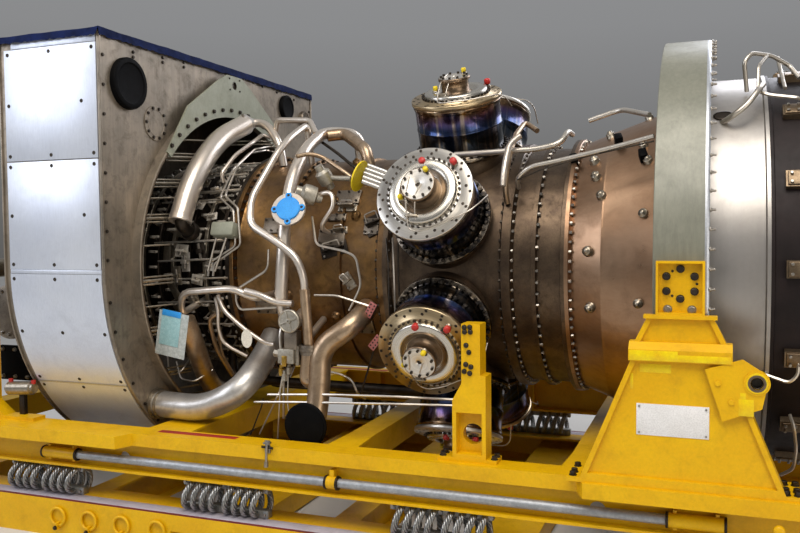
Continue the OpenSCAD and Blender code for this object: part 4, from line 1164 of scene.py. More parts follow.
@dataclass
class Plenum:
    """The square inlet box: stained plates, bright side panels, blanks, lifting plate and cloth.

    Attributes:
        front: Station of its front face.
        rear: Station of its rear face.
        half: Half its width.
        top: Height of its top.
        sheets: First and last station of the side panels.
        seams: Lowest and highest Z of the flat side panels.
        rolls: First and last angle below the axis of the rolled side panels.
        opening: Radius of the rear opening.
        rim: Station of the opening's rim.
        plate_bolts: Radius of the lifting plate's bolts.
        gauge: Depth of the side panels.
        inset: Distance of the quarter-turn screws from a panel's edge.
        cover: Y and Z of the bolted round cover.
    """

    front: float = -2.098
    rear: float = -1.370
    half: float = 1.300
    top: float = 2.907
    sheets: tuple[float, float] = (-2.053, -1.388)
    seams: tuple[tuple[float, float], ...] = ((1.567, 2.193), (2.199, 2.844))
    rolls: tuple[tuple[float, float], ...] = ((0.66, 31.57), (31.83, 74.87))
    opening: float = 1.040
    rim: float = -1.312
    plate_bolts: float = 1.061
    gauge: float = 0.010
    inset: float = 0.028
    cover: tuple[float, float] = (-0.805, 2.445)

    def side_sheets(self) -> None:
        """Builds the flat and rolled side panels with their seams and quarter-turn screws."""
        (x0, x1), r, gap, depth = self.sheets, self.half, self.inset, self.gauge
        parts, trims, spots = [], [], []
        for s in (-1, 1):
            out = (0.0, float(s), 0.0)
            for k, (z0, z1) in enumerate(self.seams):
                low, high = sorted((s * (r - depth), s * r))
                parts.append(block(f"flat_{s}_{k}", (x0, low, z0), (x1, high, z1), BRIGHT_PANEL, 0.0025))
                spots += [facing((x, s * r, z), out, 40) for x in (x0 + gap, (x0 + x1) / 2, x1 - gap)
                          for z in (z0 + gap, z1 - gap)]
                spots += [facing((x, s * r, (z0 + z1) / 2), out, 40)
                          for x in (x0 + gap, x0 + 0.84 * (x1 - x0))]
            low, high = sorted((s * (r - depth), s * (r - 0.004)))
            strips = ((x0, x1, AXIS_H - 0.014, self.seams[0][0] - 0.001),
                      (x0 + 0.050, x1 - 0.004, self.seams[1][1] + 0.004, self.top - 0.008))
            for k, (a, b, z0, z1) in enumerate(strips):
                trims.append(block(f"strip_{s}_{k}", (a, low, z0), (b, high, z1), BRIGHT_PANEL, 0.001))
            for k, (a0, a1) in enumerate(self.rolls):
                rolled = lathe(f"rolled_{s}_{k}", [
                    (r - depth, x0), (r - 0.002, x0), (r, x0 + 0.002), (r, x1 - 0.002), (r - 0.002, x1),
                    (r - depth, x1)], BRIGHT_PANEL, 240, a1 - a0)
                parts.append(on_axis(rolled, a1 - 90 if s < 0 else 90 - a0))
                for a in (a0 + 1.3, (a0 + a1) / 2, a1 - 1.3):
                    for x in (x0 + gap, (x0 + x1) / 2, x1 - gap):
                        place, way = around(x, r, -a), outward(-a)
                        place.y *= -s
                        way.y *= -s
                        spots.append(facing(place, way, 40))
            seam = (self.rolls[0][1] + self.rolls[1][0]) / 2
            lip = lathe(f"rolled_lip_{s}", [
                (r - 0.009, x0), (r + 0.003, x0), (r + 0.003, x1), (r - 0.009, x1)], EDGE_ALUMINIUM, 720,
                0.5)
            trims.append(on_axis(lip, seam - 89.75 if s < 0 else 90.25 - seam))
        mount(join("side_panel_sheets", parts), "side_panels", slot="panel_aluminium")
        mount(join("panel_seams", trims), slot="panel_aluminium")
        screw = lathe("screw", [
            (0.0, 0.0015), (0.0065, 0.0015), (0.0068, 0.0025), (0.0105, 0.0020), (0.0112, 0.0)], BOLT_DARK,
            12)
        mount(repeat("side_panel_screws", screw, spots), slot="panel_aluminium")

    def blanks(self) -> None:
        """Sets the black blanks, the far port and the bolted round cover on the rear face."""
        blank = [(0.150, 0.0), (0.150, 0.022), (0.146, 0.030), (0.138, 0.034), (0.120, 0.034), (0.116, 0.030),
                 (0.108, 0.028), (0.0, 0.028)]
        for name, y, z, scale, finish in (("large_blank", -1.060, 2.645, 1.0, BLACK_PLASTIC),
                                          ("far_blank", 0.850, 2.755, 0.65, BLACK_PLASTIC),
                                          ("far_port", 1.150, 2.705, 0.41, CASE_STEEL)):
            piece = lathe(name, [(r * scale, h) for r, h in blank], finish, 48)
            mount(moved(piece, facing((self.rear, y, z), (1, 0, 0))), slot="blank_plastic")
        cover = lathe("round_cover", [
            (0.108, 0.0), (0.108, 0.004), (0.106, 0.006), (0.082, 0.006), (0.080, 0.008), (0.078, 0.006),
            (0.0, 0.006)], STAINED_SHEET, 48)
        mount(moved(cover, facing((self.rear, *self.cover), (1, 0, 0))), "round_blanks", slot="plenum_steel")

    def rim_and_fold(self) -> None:
        """Turns the opening's rim and bead and the folded edge round the rear plate."""
        o, back, rim, r = self.opening, self.rear, self.rim, self.half
        edge = lathe("opening_rim", [
            (o - 0.001, back + 0.002), (o - 0.001, rim + 0.001), (o + 0.004, rim + 0.004),
            (o + 0.013, rim + 0.004), (o + 0.018, rim), (o + 0.018, back)], STAINED_SHEET, 192)
        mount(on_axis(edge), slot="plenum_steel")
        bead = lathe("opening_bead", [
            (o - 0.003, rim), (o - 0.003, rim + 0.004), (o + 0.006, rim + 0.006), (o + 0.010, rim + 0.004),
            (o + 0.010, rim)], RIM_STEEL, 192)
        mount(on_axis(bead), slot="plenum_steel")
        fold = [on_axis(lathe("fold_arc", [
            (r - 0.012, back), (r - 0.012, back + 0.007), (r - 0.009, back + 0.010),
            (r - 0.002, back + 0.009), (r, back + 0.004), (r, back)], STAINED_SHEET, 240, 180), 90)]
        for s in (-1, 1):
            low, high = sorted((s * (r - 0.012), s * r))
            fold.append(block(f"fold_{s}", (back, low, AXIS_H), (back + 0.010, high, self.top - 0.02),
                              STAINED_SHEET, 0.003))
        mount(join("rear_fold", fold), slot="plenum_steel")

    def rear_face(self) -> None:
        """Builds the covers, the rim, and the fasteners of the rear face."""
        self.blanks()
        self.rim_and_fold()
        way, inset = (1.0, 0.0, 0.0), self.half - 0.035
        spots = circle_on(facing((self.rear + 0.006, *self.cover), way), 0.093, 10)
        spots += [facing((self.rear, y, z), way) for y, z in (
            (-1.00, 2.84), (-1.00, 2.81), (-0.72, 2.86), (-0.72, 2.83), (-0.50, 2.87), (-0.50, 2.84),
            (0.5, 2.87), (0.72, 2.86), (1.0, 2.84))]
        spots += [facing((self.rear, s * inset, z), way)
                  for s in (-1, 1) for z in np.arange(1.62, 2.85, 0.165)]
        for a in range(-88, 0, 8):
            near = around(self.rear, inset, a)
            spots += [facing(near, way), facing((near.x, -near.y, near.z), way)]
        mount(repeat("rear_face_bolts", bolt("head", 0.018, 0.007, BOLT_DARK), spots), slot="plenum_steel")
        face = self.rim + 0.012
        plate = [facing(around(face, self.plate_bolts, a), way) for a in np.linspace(45.5, 134.5, 16)]
        mount(repeat("handling_bolts", bolt("head", 0.024, 0.012, BOLT_DARK), plate), slot="ring_primer")
        eye = lathe("handling_eye", [
            (0.0275, -0.010), (0.0275, 0.0006), (0.0245, 0.0012), (0.0235, -0.010), (0.0, -0.010)],
            DARK_STEEL, 32)
        mount(moved(eye, facing((face, -0.005, 2.793), way)), slot="ring_primer")
        screws = [facing((face, y, z), way)
                  for y, z in ((-0.065, 2.758), (0.062, 2.762), (0.060, 2.838), (-0.070, 2.834))]
        fasten("handling_screws", 0.013, 0.005, BOLT_DARK, screws, "ring_primer")

    def sheet(self) -> None:
        """Stretches the cloth over the top, with its ragged edge hanging down."""
        x0, x1, y1 = self.front - 0.012, self.rear + 0.012, self.half + 0.012
        hang, lift, slack = 0.042, 0.012, 0.002
        middle = (x0 + x1) / 2
        wide, long = x1 - x0 + 2 * hang, 2 * y1 + 2 * hang
        deselect()
        bpy.ops.mesh.primitive_grid_add(x_subdivisions=36, y_subdivisions=120, size=1,
                                        location=(middle, 0, self.top + lift))
        piece = bpy.context.active_object
        piece.scale = (wide, long, 1)
        bpy.ops.object.transform_apply(location=True, rotation=True, scale=True)
        bpy.ops.object.mode_set(mode="EDIT")
        shape = edit_faces(piece)
        for face in shape.faces:
            spot = face.calc_center_median()
            face.select_set(abs(spot.x - middle) > (x1 - x0) / 2 - slack and abs(spot.y) > y1 - slack)
        put_back(piece, shape)
        bpy.ops.mesh.delete(type="FACE")
        flat = self.top + lift - 0.001
        for axis, sign, edge in (("Y", 1, x1), ("Y", -1, x0), ("X", -1, y1), ("X", 1, -y1)):
            shape = edit_faces(piece)
            for face in shape.faces:
                spot = face.calc_center_median()
                past = (spot.x - edge) * sign if axis == "Y" else (edge - spot.y) * sign
                face.select_set(past > -slack and spot.z > flat)
            put_back(piece, shape)
            centre = (edge, 0, self.top + lift) if axis == "Y" else (0, edge, self.top + lift)
            bpy.ops.transform.rotate(value=math.radians(-84 * sign), orient_axis=axis, center_override=centre)
        shape = edit_faces(piece)
        for face in shape.faces:
            face.select_set(face.calc_center_median().z < self.top - 0.018)
        put_back(piece, shape)
        bpy.ops.transform.vertex_random(offset=0.005, uniform=1.0, seed=7)
        bpy.ops.object.mode_set(mode="OBJECT")
        activate(piece)
        folds = bpy.data.textures.new("cloth_folds", "CLOUDS")
        folds.noise_scale = 0.16
        wave = piece.modifiers.new("folds", "DISPLACE")
        wave.texture, wave.strength, wave.mid_level, wave.texture_coords = folds, 0.010, 0.35, "LOCAL"
        bpy.ops.object.modifier_apply(modifier="folds")
        settle(piece, "top_cloth", COVER_CLOTH, 60)
        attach(piece, BODY)
        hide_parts("top_cover")

    def build(self) -> None:
        """Builds the whole plenum."""
        paint(("plenum_front_plate", "plenum_wrap", "plenum_rear_plate"), STAINED_SHEET)
        paint(("handling_plate",), PLATE_PRIMER)
        self.side_sheets()
        self.rear_face()
        self.sheet()


@dataclass(frozen=True)
class Route:
    """A bent tube given by the corners of its route in millimetres.

    Attributes:
        name: Name of the tube.
        diameter: Outer diameter in millimetres.
        finish: The finish.
        bend: How far from a corner its bend starts, in millimetres.
        corners: Corners of the route in millimetres.
    """

    name: str
    diameter: float
    finish: Finish
    bend: float
    corners: tuple[Point, ...]

    def lay(self) -> Piece:
        """Makes the tube, with more sides the wider it is.

        Returns:
            The tube as a mesh.
        """
        sides = 8 if self.diameter < 20 else 12 if self.diameter < 50 else 24 if self.diameter < 100 else 32
        return tube(self.name, [tuple(c / 1000 for c in p) for p in self.corners], self.diameter / 1000,
                    self.finish, self.bend / 1000, sides, 5 if self.diameter < 50 else 10)


def spot(x: float, radius: float, angle: float) -> Point:
    """Gives a point round the engine's axis in millimetres, at degrees over the horizontal."""
    return tuple(1000 * c for c in around(x / 1000, radius / 1000, angle))


def collar(name: str, place: Matrix, radius: float, width: float, depth: float,
           finish: Finish) -> Piece:
    """Makes a band clamp with a raised middle round a tube.

    Args:
        name: Name of the clamp.
        place: Its centre, with Z along the tube.
        radius: Radius of the tube.
        width: Width of the band.
        depth: How far it stands out.
        finish: The finish.

    Returns:
        The clamp.
    """
    half = width / 2
    band = lathe(name, [
        (radius, -half), (radius + depth * 0.6, -half), (radius + depth * 0.7, -half * 0.4),
        (radius + depth, -half * 0.3), (radius + depth, half * 0.3), (radius + depth * 0.7, half * 0.4),
        (radius + depth * 0.6, half), (radius, half)], finish, 32)
    lug = block(name + "_lug", (radius, -0.012, -half), (radius + depth + 0.022, 0.012, half), finish, 0.002)
    return moved(join(name, [band, lug]), place)


@dataclass
class Compressor:
    """Inlet and compressor casings with unison rings, levers, links and flange bolts.

    Attributes:
        start: Station behind the plenum's front plate.
        end: Station of the big flange.
        radius: Radius of the casing.
        ring_radius: Inner radius of the unison rings.
        rows: Number of rings.
        pitch: Distance between rings.
        levers: Levers on each ring.
        box_front: Station of the plenum's front face.
        seats: Station of the inlet case's trunnion seats.
        rim: Station and radius at which the struts leave the plenum's opening.
    """

    start: float = -2.088
    end: float = -0.915
    radius: float = 0.575
    ring_radius: float = 0.655
    rows: int = 6
    pitch: float = 0.118
    levers: int = 44
    box_front: float = -2.098
    seats: float = -2.500
    rim: tuple[float, float] = (-1.350, 1.010)

    def casing(self) -> None:
        """Turns the compressor casing and the inlet case."""
        x0, x1, r = self.start, self.end, self.radius
        case = lathe("compressor_casing", [
            (CORE, x0), (r + 0.06, x0), (r + 0.06, x0 + 0.02), (r - 0.02, x0 + 0.06), (r - 0.02, x0 + 0.33),
            (r + 0.02, x0 + 0.335), (r + 0.02, x0 + 0.35), (r, x0 + 0.355), (r, x1 - 0.58),
            (r + 0.016, x1 - 0.575), (r + 0.016, x1 - 0.56), (r, x1 - 0.555), (r, x1 - 0.30),
            (r + 0.02, x1 - 0.295), (r + 0.02, x1 - 0.275), (r, x1 - 0.27), (r + 0.012, x1 - 0.032),
            (0.722, x1 - 0.030), (0.728, x1 - 0.026), (0.728, x1), (CORE, x1)], DARK_STEEL, 144)
        mount(on_axis(case), "compressor_case", slot="case_steel")
        boss = lathe("bleed_boss", [
            (0.0, 0.5), (0.040, 0.5), (0.040, 0.745), (0.058, 0.75), (0.058, 0.775), (0.050, 0.79),
            (0.0, 0.79)], DARK_STEEL, 32)
        mount(moved(boss, can_place(BLEED_MM / 1000, 73.0)), slot="case_steel")
        p = self.box_front
        inlet = lathe("inlet_casing", [
            (0.0, p - 0.70), (0.088, p - 0.70), (0.090, p - 0.698), (0.090, p - 0.64), (0.298, p - 0.64),
            (0.300, p - 0.638), (0.300, p - 0.616), (0.260, p - 0.612), (0.330, p - 0.49), (0.520, p - 0.43),
            (0.540, p - 0.43), (0.540, p - 0.406), (0.520, p - 0.404), (0.560, p - 0.22), (0.600, p - 0.026),
            (0.648, p - 0.024), (0.650, p - 0.022), (0.650, p), (0.0, p)], CASE_STEEL, 96)
        seats = []
        for s in (-1, 1):
            seat = lathe("seat", [
                (0.0, 0.44), (0.118, 0.44), (0.120, 0.45), (0.120, 0.638), (0.118, 0.640), (0.0, 0.640)],
                CASE_STEEL, 48)
            seats.append(moved(seat, facing((self.seats, 0, AXIS_H), (0, s, 0))))
        mount(join("inlet_casing", [on_axis(inlet), *seats]), "inlet_case", slot="case_steel")

    def unison_gear(self) -> None:
        """Sets the unison rings, vane levers, spindles and adjusters."""
        rings, levers, spindles = [], [], []
        for i in range(self.rows):
            x = self.end - 0.090 - i * self.pitch
            r = self.ring_radius
            ring = lathe(f"unison_{i}", [
                (r, x - 0.012), (r + 0.024, x - 0.012), (r + 0.026, x - 0.010), (r + 0.026, x + 0.010),
                (r + 0.024, x + 0.012), (r, x + 0.012), (r, x - 0.012)],
                FITTING_STEEL if i % 2 else DARK_STEEL, 96)
            rings.append(on_axis(ring))
            for k in range(self.levers):
                a = (k + 0.5 * (i % 2)) * 360 / self.levers
                out = outward(a)
                levers.append(facing(around(x - 0.030, r + 0.026, a), out))
                spindles.append(facing(around(x - 0.056, self.radius, a), out, 12))
        mount(join("unison_rings", rings), "vane_rings", slot="case_steel")
        arm = block("arm", (-0.008, -0.034, 0.0), (0.008, 0.034, 0.006), LEVER_STEEL, 0.001)
        pin = lathe("pin", [
            (0.0, 0.016), (0.005, 0.016), (0.006, 0.014), (0.006, 0.006), (0.009, 0.005), (0.009, 0.0)],
            LEVER_STEEL, 8)
        pin.data.transform(Matrix.Translation((0, -0.024, 0)))
        template = join("lever", [arm, pin])
        template.data.transform(Matrix.Rotation(math.pi / 2, 4, "Z"))
        mount(repeat("vane_levers", template, levers), slot="case_steel")
        post = lathe("post", [(0.012, 0.0), (0.012, 0.02), (0.008, 0.026), (0.008, 0.112), (0.0, 0.112)],
                     CASE_STEEL, 8)
        mount(repeat("vane_spindles", post, spindles), slot="case_steel")

    def links(self) -> None:
        """Lays the struts, link rods and brackets round the rings."""
        rods = []
        for k, (a, x0, x1, r, d) in enumerate((
                (12, -1.46, -0.93, 0.735, 0.016), (3, -1.42, -0.95, 0.742, 0.014),
                (-6, -1.45, -0.92, 0.738, 0.012), (34, -1.48, -1.02, 0.730, 0.014),
                (40, -1.30, -0.93, 0.728, 0.020), (-18, -1.46, -1.00, 0.732, 0.014),
                (52, -1.50, -0.95, 0.730, 0.012), (-30, -1.50, -0.94, 0.736, 0.012),
                (64, -1.45, -0.93, 0.73, 0.012))):
            rods.append(tube(f"link_{k}", [around(x0, r, a), around(x1, r, a + 1.5)], d, LINE_STEEL, 0.0, 8))
        for k, (a, x) in enumerate((
                (20, -1.30), (28, -1.36), (-12, -1.34), (8, -1.38), (46, -1.34), (-24, -1.33))):
            plate = block(f"plate_{k}", (-0.055, -0.026, 0.0), (0.055, 0.026, 0.010), FITTING_STEEL, 0.002)
            rods.append(moved(plate, on_case(x, 0.70, a, 90 + 12 * (k % 3))))
        for k, (x, a, w, d, finish) in enumerate((
                (-1.185, 15.5, 0.050, 0.030, LEVER_STEEL), (-1.262, 8.4, 0.046, 0.040, LEVER_STEEL),
                (-1.229, 2.8, 0.030, 0.060, LINE_STEEL), (-1.195, -15.3, 0.036, 0.050, FITTING_STEEL),
                (-1.120, 8.0, 0.030, 0.070, DARK_STEEL), (-1.150, -6.0, 0.040, 0.030, LEVER_STEEL),
                (-1.060, 1.0, 0.030, 0.030, LINE_STEEL), (-1.290, -4.0, 0.024, 0.060, FITTING_STEEL),
                (-1.080, 26.0, 0.036, 0.024, LEVER_STEEL), (-1.040, 36.0, 0.040, 0.024, FITTING_STEEL),
                (-1.200, 33.0, 0.040, 0.030, LEVER_STEEL), (-1.300, 26.0, 0.030, 0.050, LEVER_STEEL),
                (-1.240, 48.0, 0.040, 0.026, FITTING_STEEL), (-1.180, 58.0, 0.036, 0.024, LEVER_STEEL),
                (-1.120, 42.0, 0.040, 0.024, LINE_STEEL), (-1.040, -22.0, 0.040, 0.040, FITTING_STEEL))):
            place = on_case(x, 0.716, a, 7 * (k % 5) - 12)
            clevis = [block(f"clevis_{k}", (-w, -d, 0.0), (w, d, 0.008), finish, 0.002),
                      block(f"ear_{k}", (-w * 0.7, -d * 0.2, 0.006), (w * 0.7, d * 0.2, 0.034),
                            finish, 0.003),
                      tube(f"eye_{k}", [(0.0, -d * 0.7, 0.022), (0.0, d * 0.7, 0.022)], 0.018,
                           BOLT_BRIGHT, 0.0, 8)]
            rods += [moved(piece, place) for piece in clevis]
        for k, (a, reach) in enumerate((
                (-58, 0.20), (-40, 0.22), (-22, 0.20), (-4, 0.20), (17.5, 0.20), (31, 0.22), (43, 0.20))):
            rim = around(*self.rim, a)
            for j, (lift, d) in enumerate(((0.0, 0.020), (0.022, 0.012), (-0.022, 0.012))):
                low, high = rim + Vector((0.0, 0.0, lift)), rim + Vector((0.085, reach, lift + 0.006))
                rods.append(tube(f"strut_{k}_{j}", [low, high], d, FITTING_STEEL, 0.0, 8))
        for k, a in enumerate((-50, -31, -13, 8, 25, 53)):
            rim = around(*self.rim, a)
            ends = [rim, rim + Vector((0.085, 0.17, 0.006))]
            rods.append(tube(f"tie_{k}", ends, 0.012, FITTING_STEEL, 0.0, 8))
        mount(join("compressor_links", rods), slot="case_steel")

    def inlet_fittings(self) -> None:
        """Sets the drum end, the black bolted plate and the capped actuator beside the inlet."""
        place = facing((-2.490, -0.900, 1.260), (0, -1, 0))
        drum = lathe("drum_end", [(0.0, 0.0), (0.160, 0.0), (0.178, -0.006), (0.178, -0.060), (0.0, -0.060)],
                     CASE_STEEL, 64)
        drum.data.transform(place)
        rim = circle_on(place, 0.148, 16)
        plate = block("black_plate", (-2.520, -0.950, 0.825), (-2.270, -0.930, 1.050), BLACK_PLASTIC, 0.004)
        spots = rim + [facing((x, -0.950, z), (0, -1, 0))
                       for x in (-2.495, -2.395, -2.295) for z in (0.850, 1.025)]
        mount(join("inlet_drum", [drum, plate]), slot="case_steel")
        mount(repeat("inlet_drum_bolts", bolt("head", 0.022, 0.012, BOLT_BRIGHT), spots), slot="case_steel")
        cylinder = lathe("actuator", [
            (0.0, 0.0), (0.030, 0.0), (0.032, 0.012), (0.042, 0.016), (0.042, 0.196), (0.032, 0.200),
            (0.030, 0.214), (0.0, 0.214)], FITTING_STEEL, 32)
        cylinder.data.transform(facing((-2.276, -1.130, 0.813), (1, 0, 0.06)))
        caps = [lathe(f"cap_{k}", [(0.012, 0.0), (0.014, 0.004), (0.014, 0.024), (0.0, 0.026)], RED_CAP, 16)
                for k in range(2)]
        for cap, x in zip(caps, (-2.250, -2.070)):
            cap.data.transform(facing((x, -1.130, 0.850), (0, 0, 1)))
        post = block("actuator_post", (-2.190, -1.130, 0.640), (-2.150, -1.100, 0.790), DARK_STEEL, 0.003)
        mount(join("inlet_actuator", [cylinder, post, *caps]), slot="case_steel")

    def build(self) -> None:
        """Builds the compressor."""
        self.casing()
        self.unison_gear()
        self.links()
        self.inlet_fittings()
        way = (-1.0, 0.0, 0.0)
        rows = (ring_of(self.end - 0.030, 0.708, 72, way)
                + ring_of(self.start + 0.35 + 0.002, 0.587, 60, (1, 0, 0)))
        fasten("compressor_bolts", 0.024, 0.016, LEVER_STEEL, rows, "case_steel")


@dataclass
class MiddleCase:
    """The bronze case between compressor and combustors, with its flanges, pads and bosses.

    Attributes:
        start: Station of its front flange.
        end: Station of its rear flange.
        radius: Its radius.
    """

    start: float = -0.915
    end: float = 0.086
    radius: float = 0.676

    def brackets(self) -> None:
        """Bolts the angle brackets and the black cable bracket to the case."""
        parts, screws = [], []
        for k, (px, a, w, d, finish) in enumerate((
                (-0.185, 31.5, 0.060, 0.024, FITTING_STEEL), (-0.205, 19.0, 0.045, 0.020, FITTING_STEEL),
                (-0.235, 9.5, 0.085, 0.040, DARK_STEEL), (0.010, 22.0, 0.060, 0.062, DARK_STEEL),
                (-0.140, -6.0, 0.030, 0.050, FITTING_STEEL))):
            place = on_case(px, self.radius, a, 8 * k)
            flat = block(f"foot_{k}", (-w, -d, -0.004), (w, d, 0.008), finish, 0.002)
            tab = block(f"tab_{k}", (-w * 0.8, -0.004, 0.004), (w * 0.8, 0.004, 0.052), finish, 0.002)
            hoop = tube(f"hoop_{k}", [
                (-w * 0.6, 0.0, 0.030), (-w * 0.6, d, 0.050), (w * 0.6, d, 0.050), (w * 0.6, 0.0, 0.030)],
                0.008, LINE_STEEL, 0.012, 8, 4)
            parts += [moved(piece, place) for piece in (flat, tab, hoop)]
            screws += [place @ Matrix.Translation((u * w * 0.75, v * d * 0.65, 0.008))
                       for u in (-1, 1) for v in (-1, 1)]
        mount(join("casing_brackets", parts), slot="case_bronze")
        fasten("casing_bracket_screws", 0.014, 0.008, BOLT_BRIGHT, screws, "case_bronze")

    def build(self) -> None:
        """Builds the case, its bolt rows, pads and bosses."""
        x, e, r = self.start, self.end, self.radius
        case = lathe("middle_casing", [
            (CORE, x), (r + 0.050, x), (r + 0.052, x + 0.002), (r + 0.052, x + 0.024),
            (r + 0.050, x + 0.026), (r + 0.006, x + 0.030), (r, x + 0.040), (r, x + 0.330),
            (r + 0.022, x + 0.336), (r + 0.022, x + 0.356), (r, x + 0.362), (r, x + 0.700),
            (r + 0.014, x + 0.706), (r + 0.014, x + 0.722), (r, x + 0.728), (r, e - 0.060),
            (r + 0.050, e - 0.030), (r + 0.050, e), (CORE, e)], BRONZE_CASE, 144)
        mount(on_axis(case), "middle_case", slot="case_bronze")
        back, ahead = (1.0, 0.0, 0.0), (-1.0, 0.0, 0.0)
        rows = (ring_of(x + 0.026, r + 0.032, 72, back) + ring_of(x + 0.356, r + 0.012, 60, back)
                + ring_of(e - 0.030, r + 0.036, 84, ahead))
        fasten("middle_case_bolts", 0.020, 0.014, BOLT_DARK, rows, "case_bronze")
        boss = lathe("boss", [
            (0.0, 0.030), (0.012, 0.030), (0.013, 0.022), (0.024, 0.020), (0.026, 0.018), (0.026, 0.004),
            (0.034, 0.0)], BRONZE_CASE, 20)
        spots = [on_case(px, r, a) for px, a in (
            (-0.12, 27), (-0.28, 36), (-0.55, -14), (-0.10, 48), (-0.30, 75), (-0.25, -25), (-0.4, 120),
            (-0.6, 160), (-0.3, 190))]
        mount(repeat("casing_bosses", boss, spots), slot="case_bronze")
        self.brackets()
        pads, screws = [], []
        for k, (px, a, w, d) in enumerate((
                (-0.255, 15.5, 0.085, 0.05), (-0.24, 26.0, 0.06, 0.022), (-0.20, 38.0, 0.08, 0.05),
                (0.0, 21.0, 0.055, 0.05), (-0.66, 22.0, 0.06, 0.05), (-0.70, -20.0, 0.08, 0.05),
                (-0.10, -30.0, 0.08, 0.05), (-0.5, 150.0, 0.09, 0.06))):
            pad = block(f"pad_{k}", (-w, -d, -0.004), (w, d, 0.014), CASE_STEEL, 0.003)
            place = on_case(px, r, a, 0)
            pads.append(moved(pad, place))
            screws += [place @ Matrix.Translation((u * w * 0.8, v * d * 0.7, 0.014)) for u in (-1, 0, 1)
                       for v in (-1, 1)]
        mount(join("casing_pads", pads), slot="case_bronze")
        fasten("casing_pad_screws", 0.014, 0.008, BOLT_DARK, screws, "case_bronze")


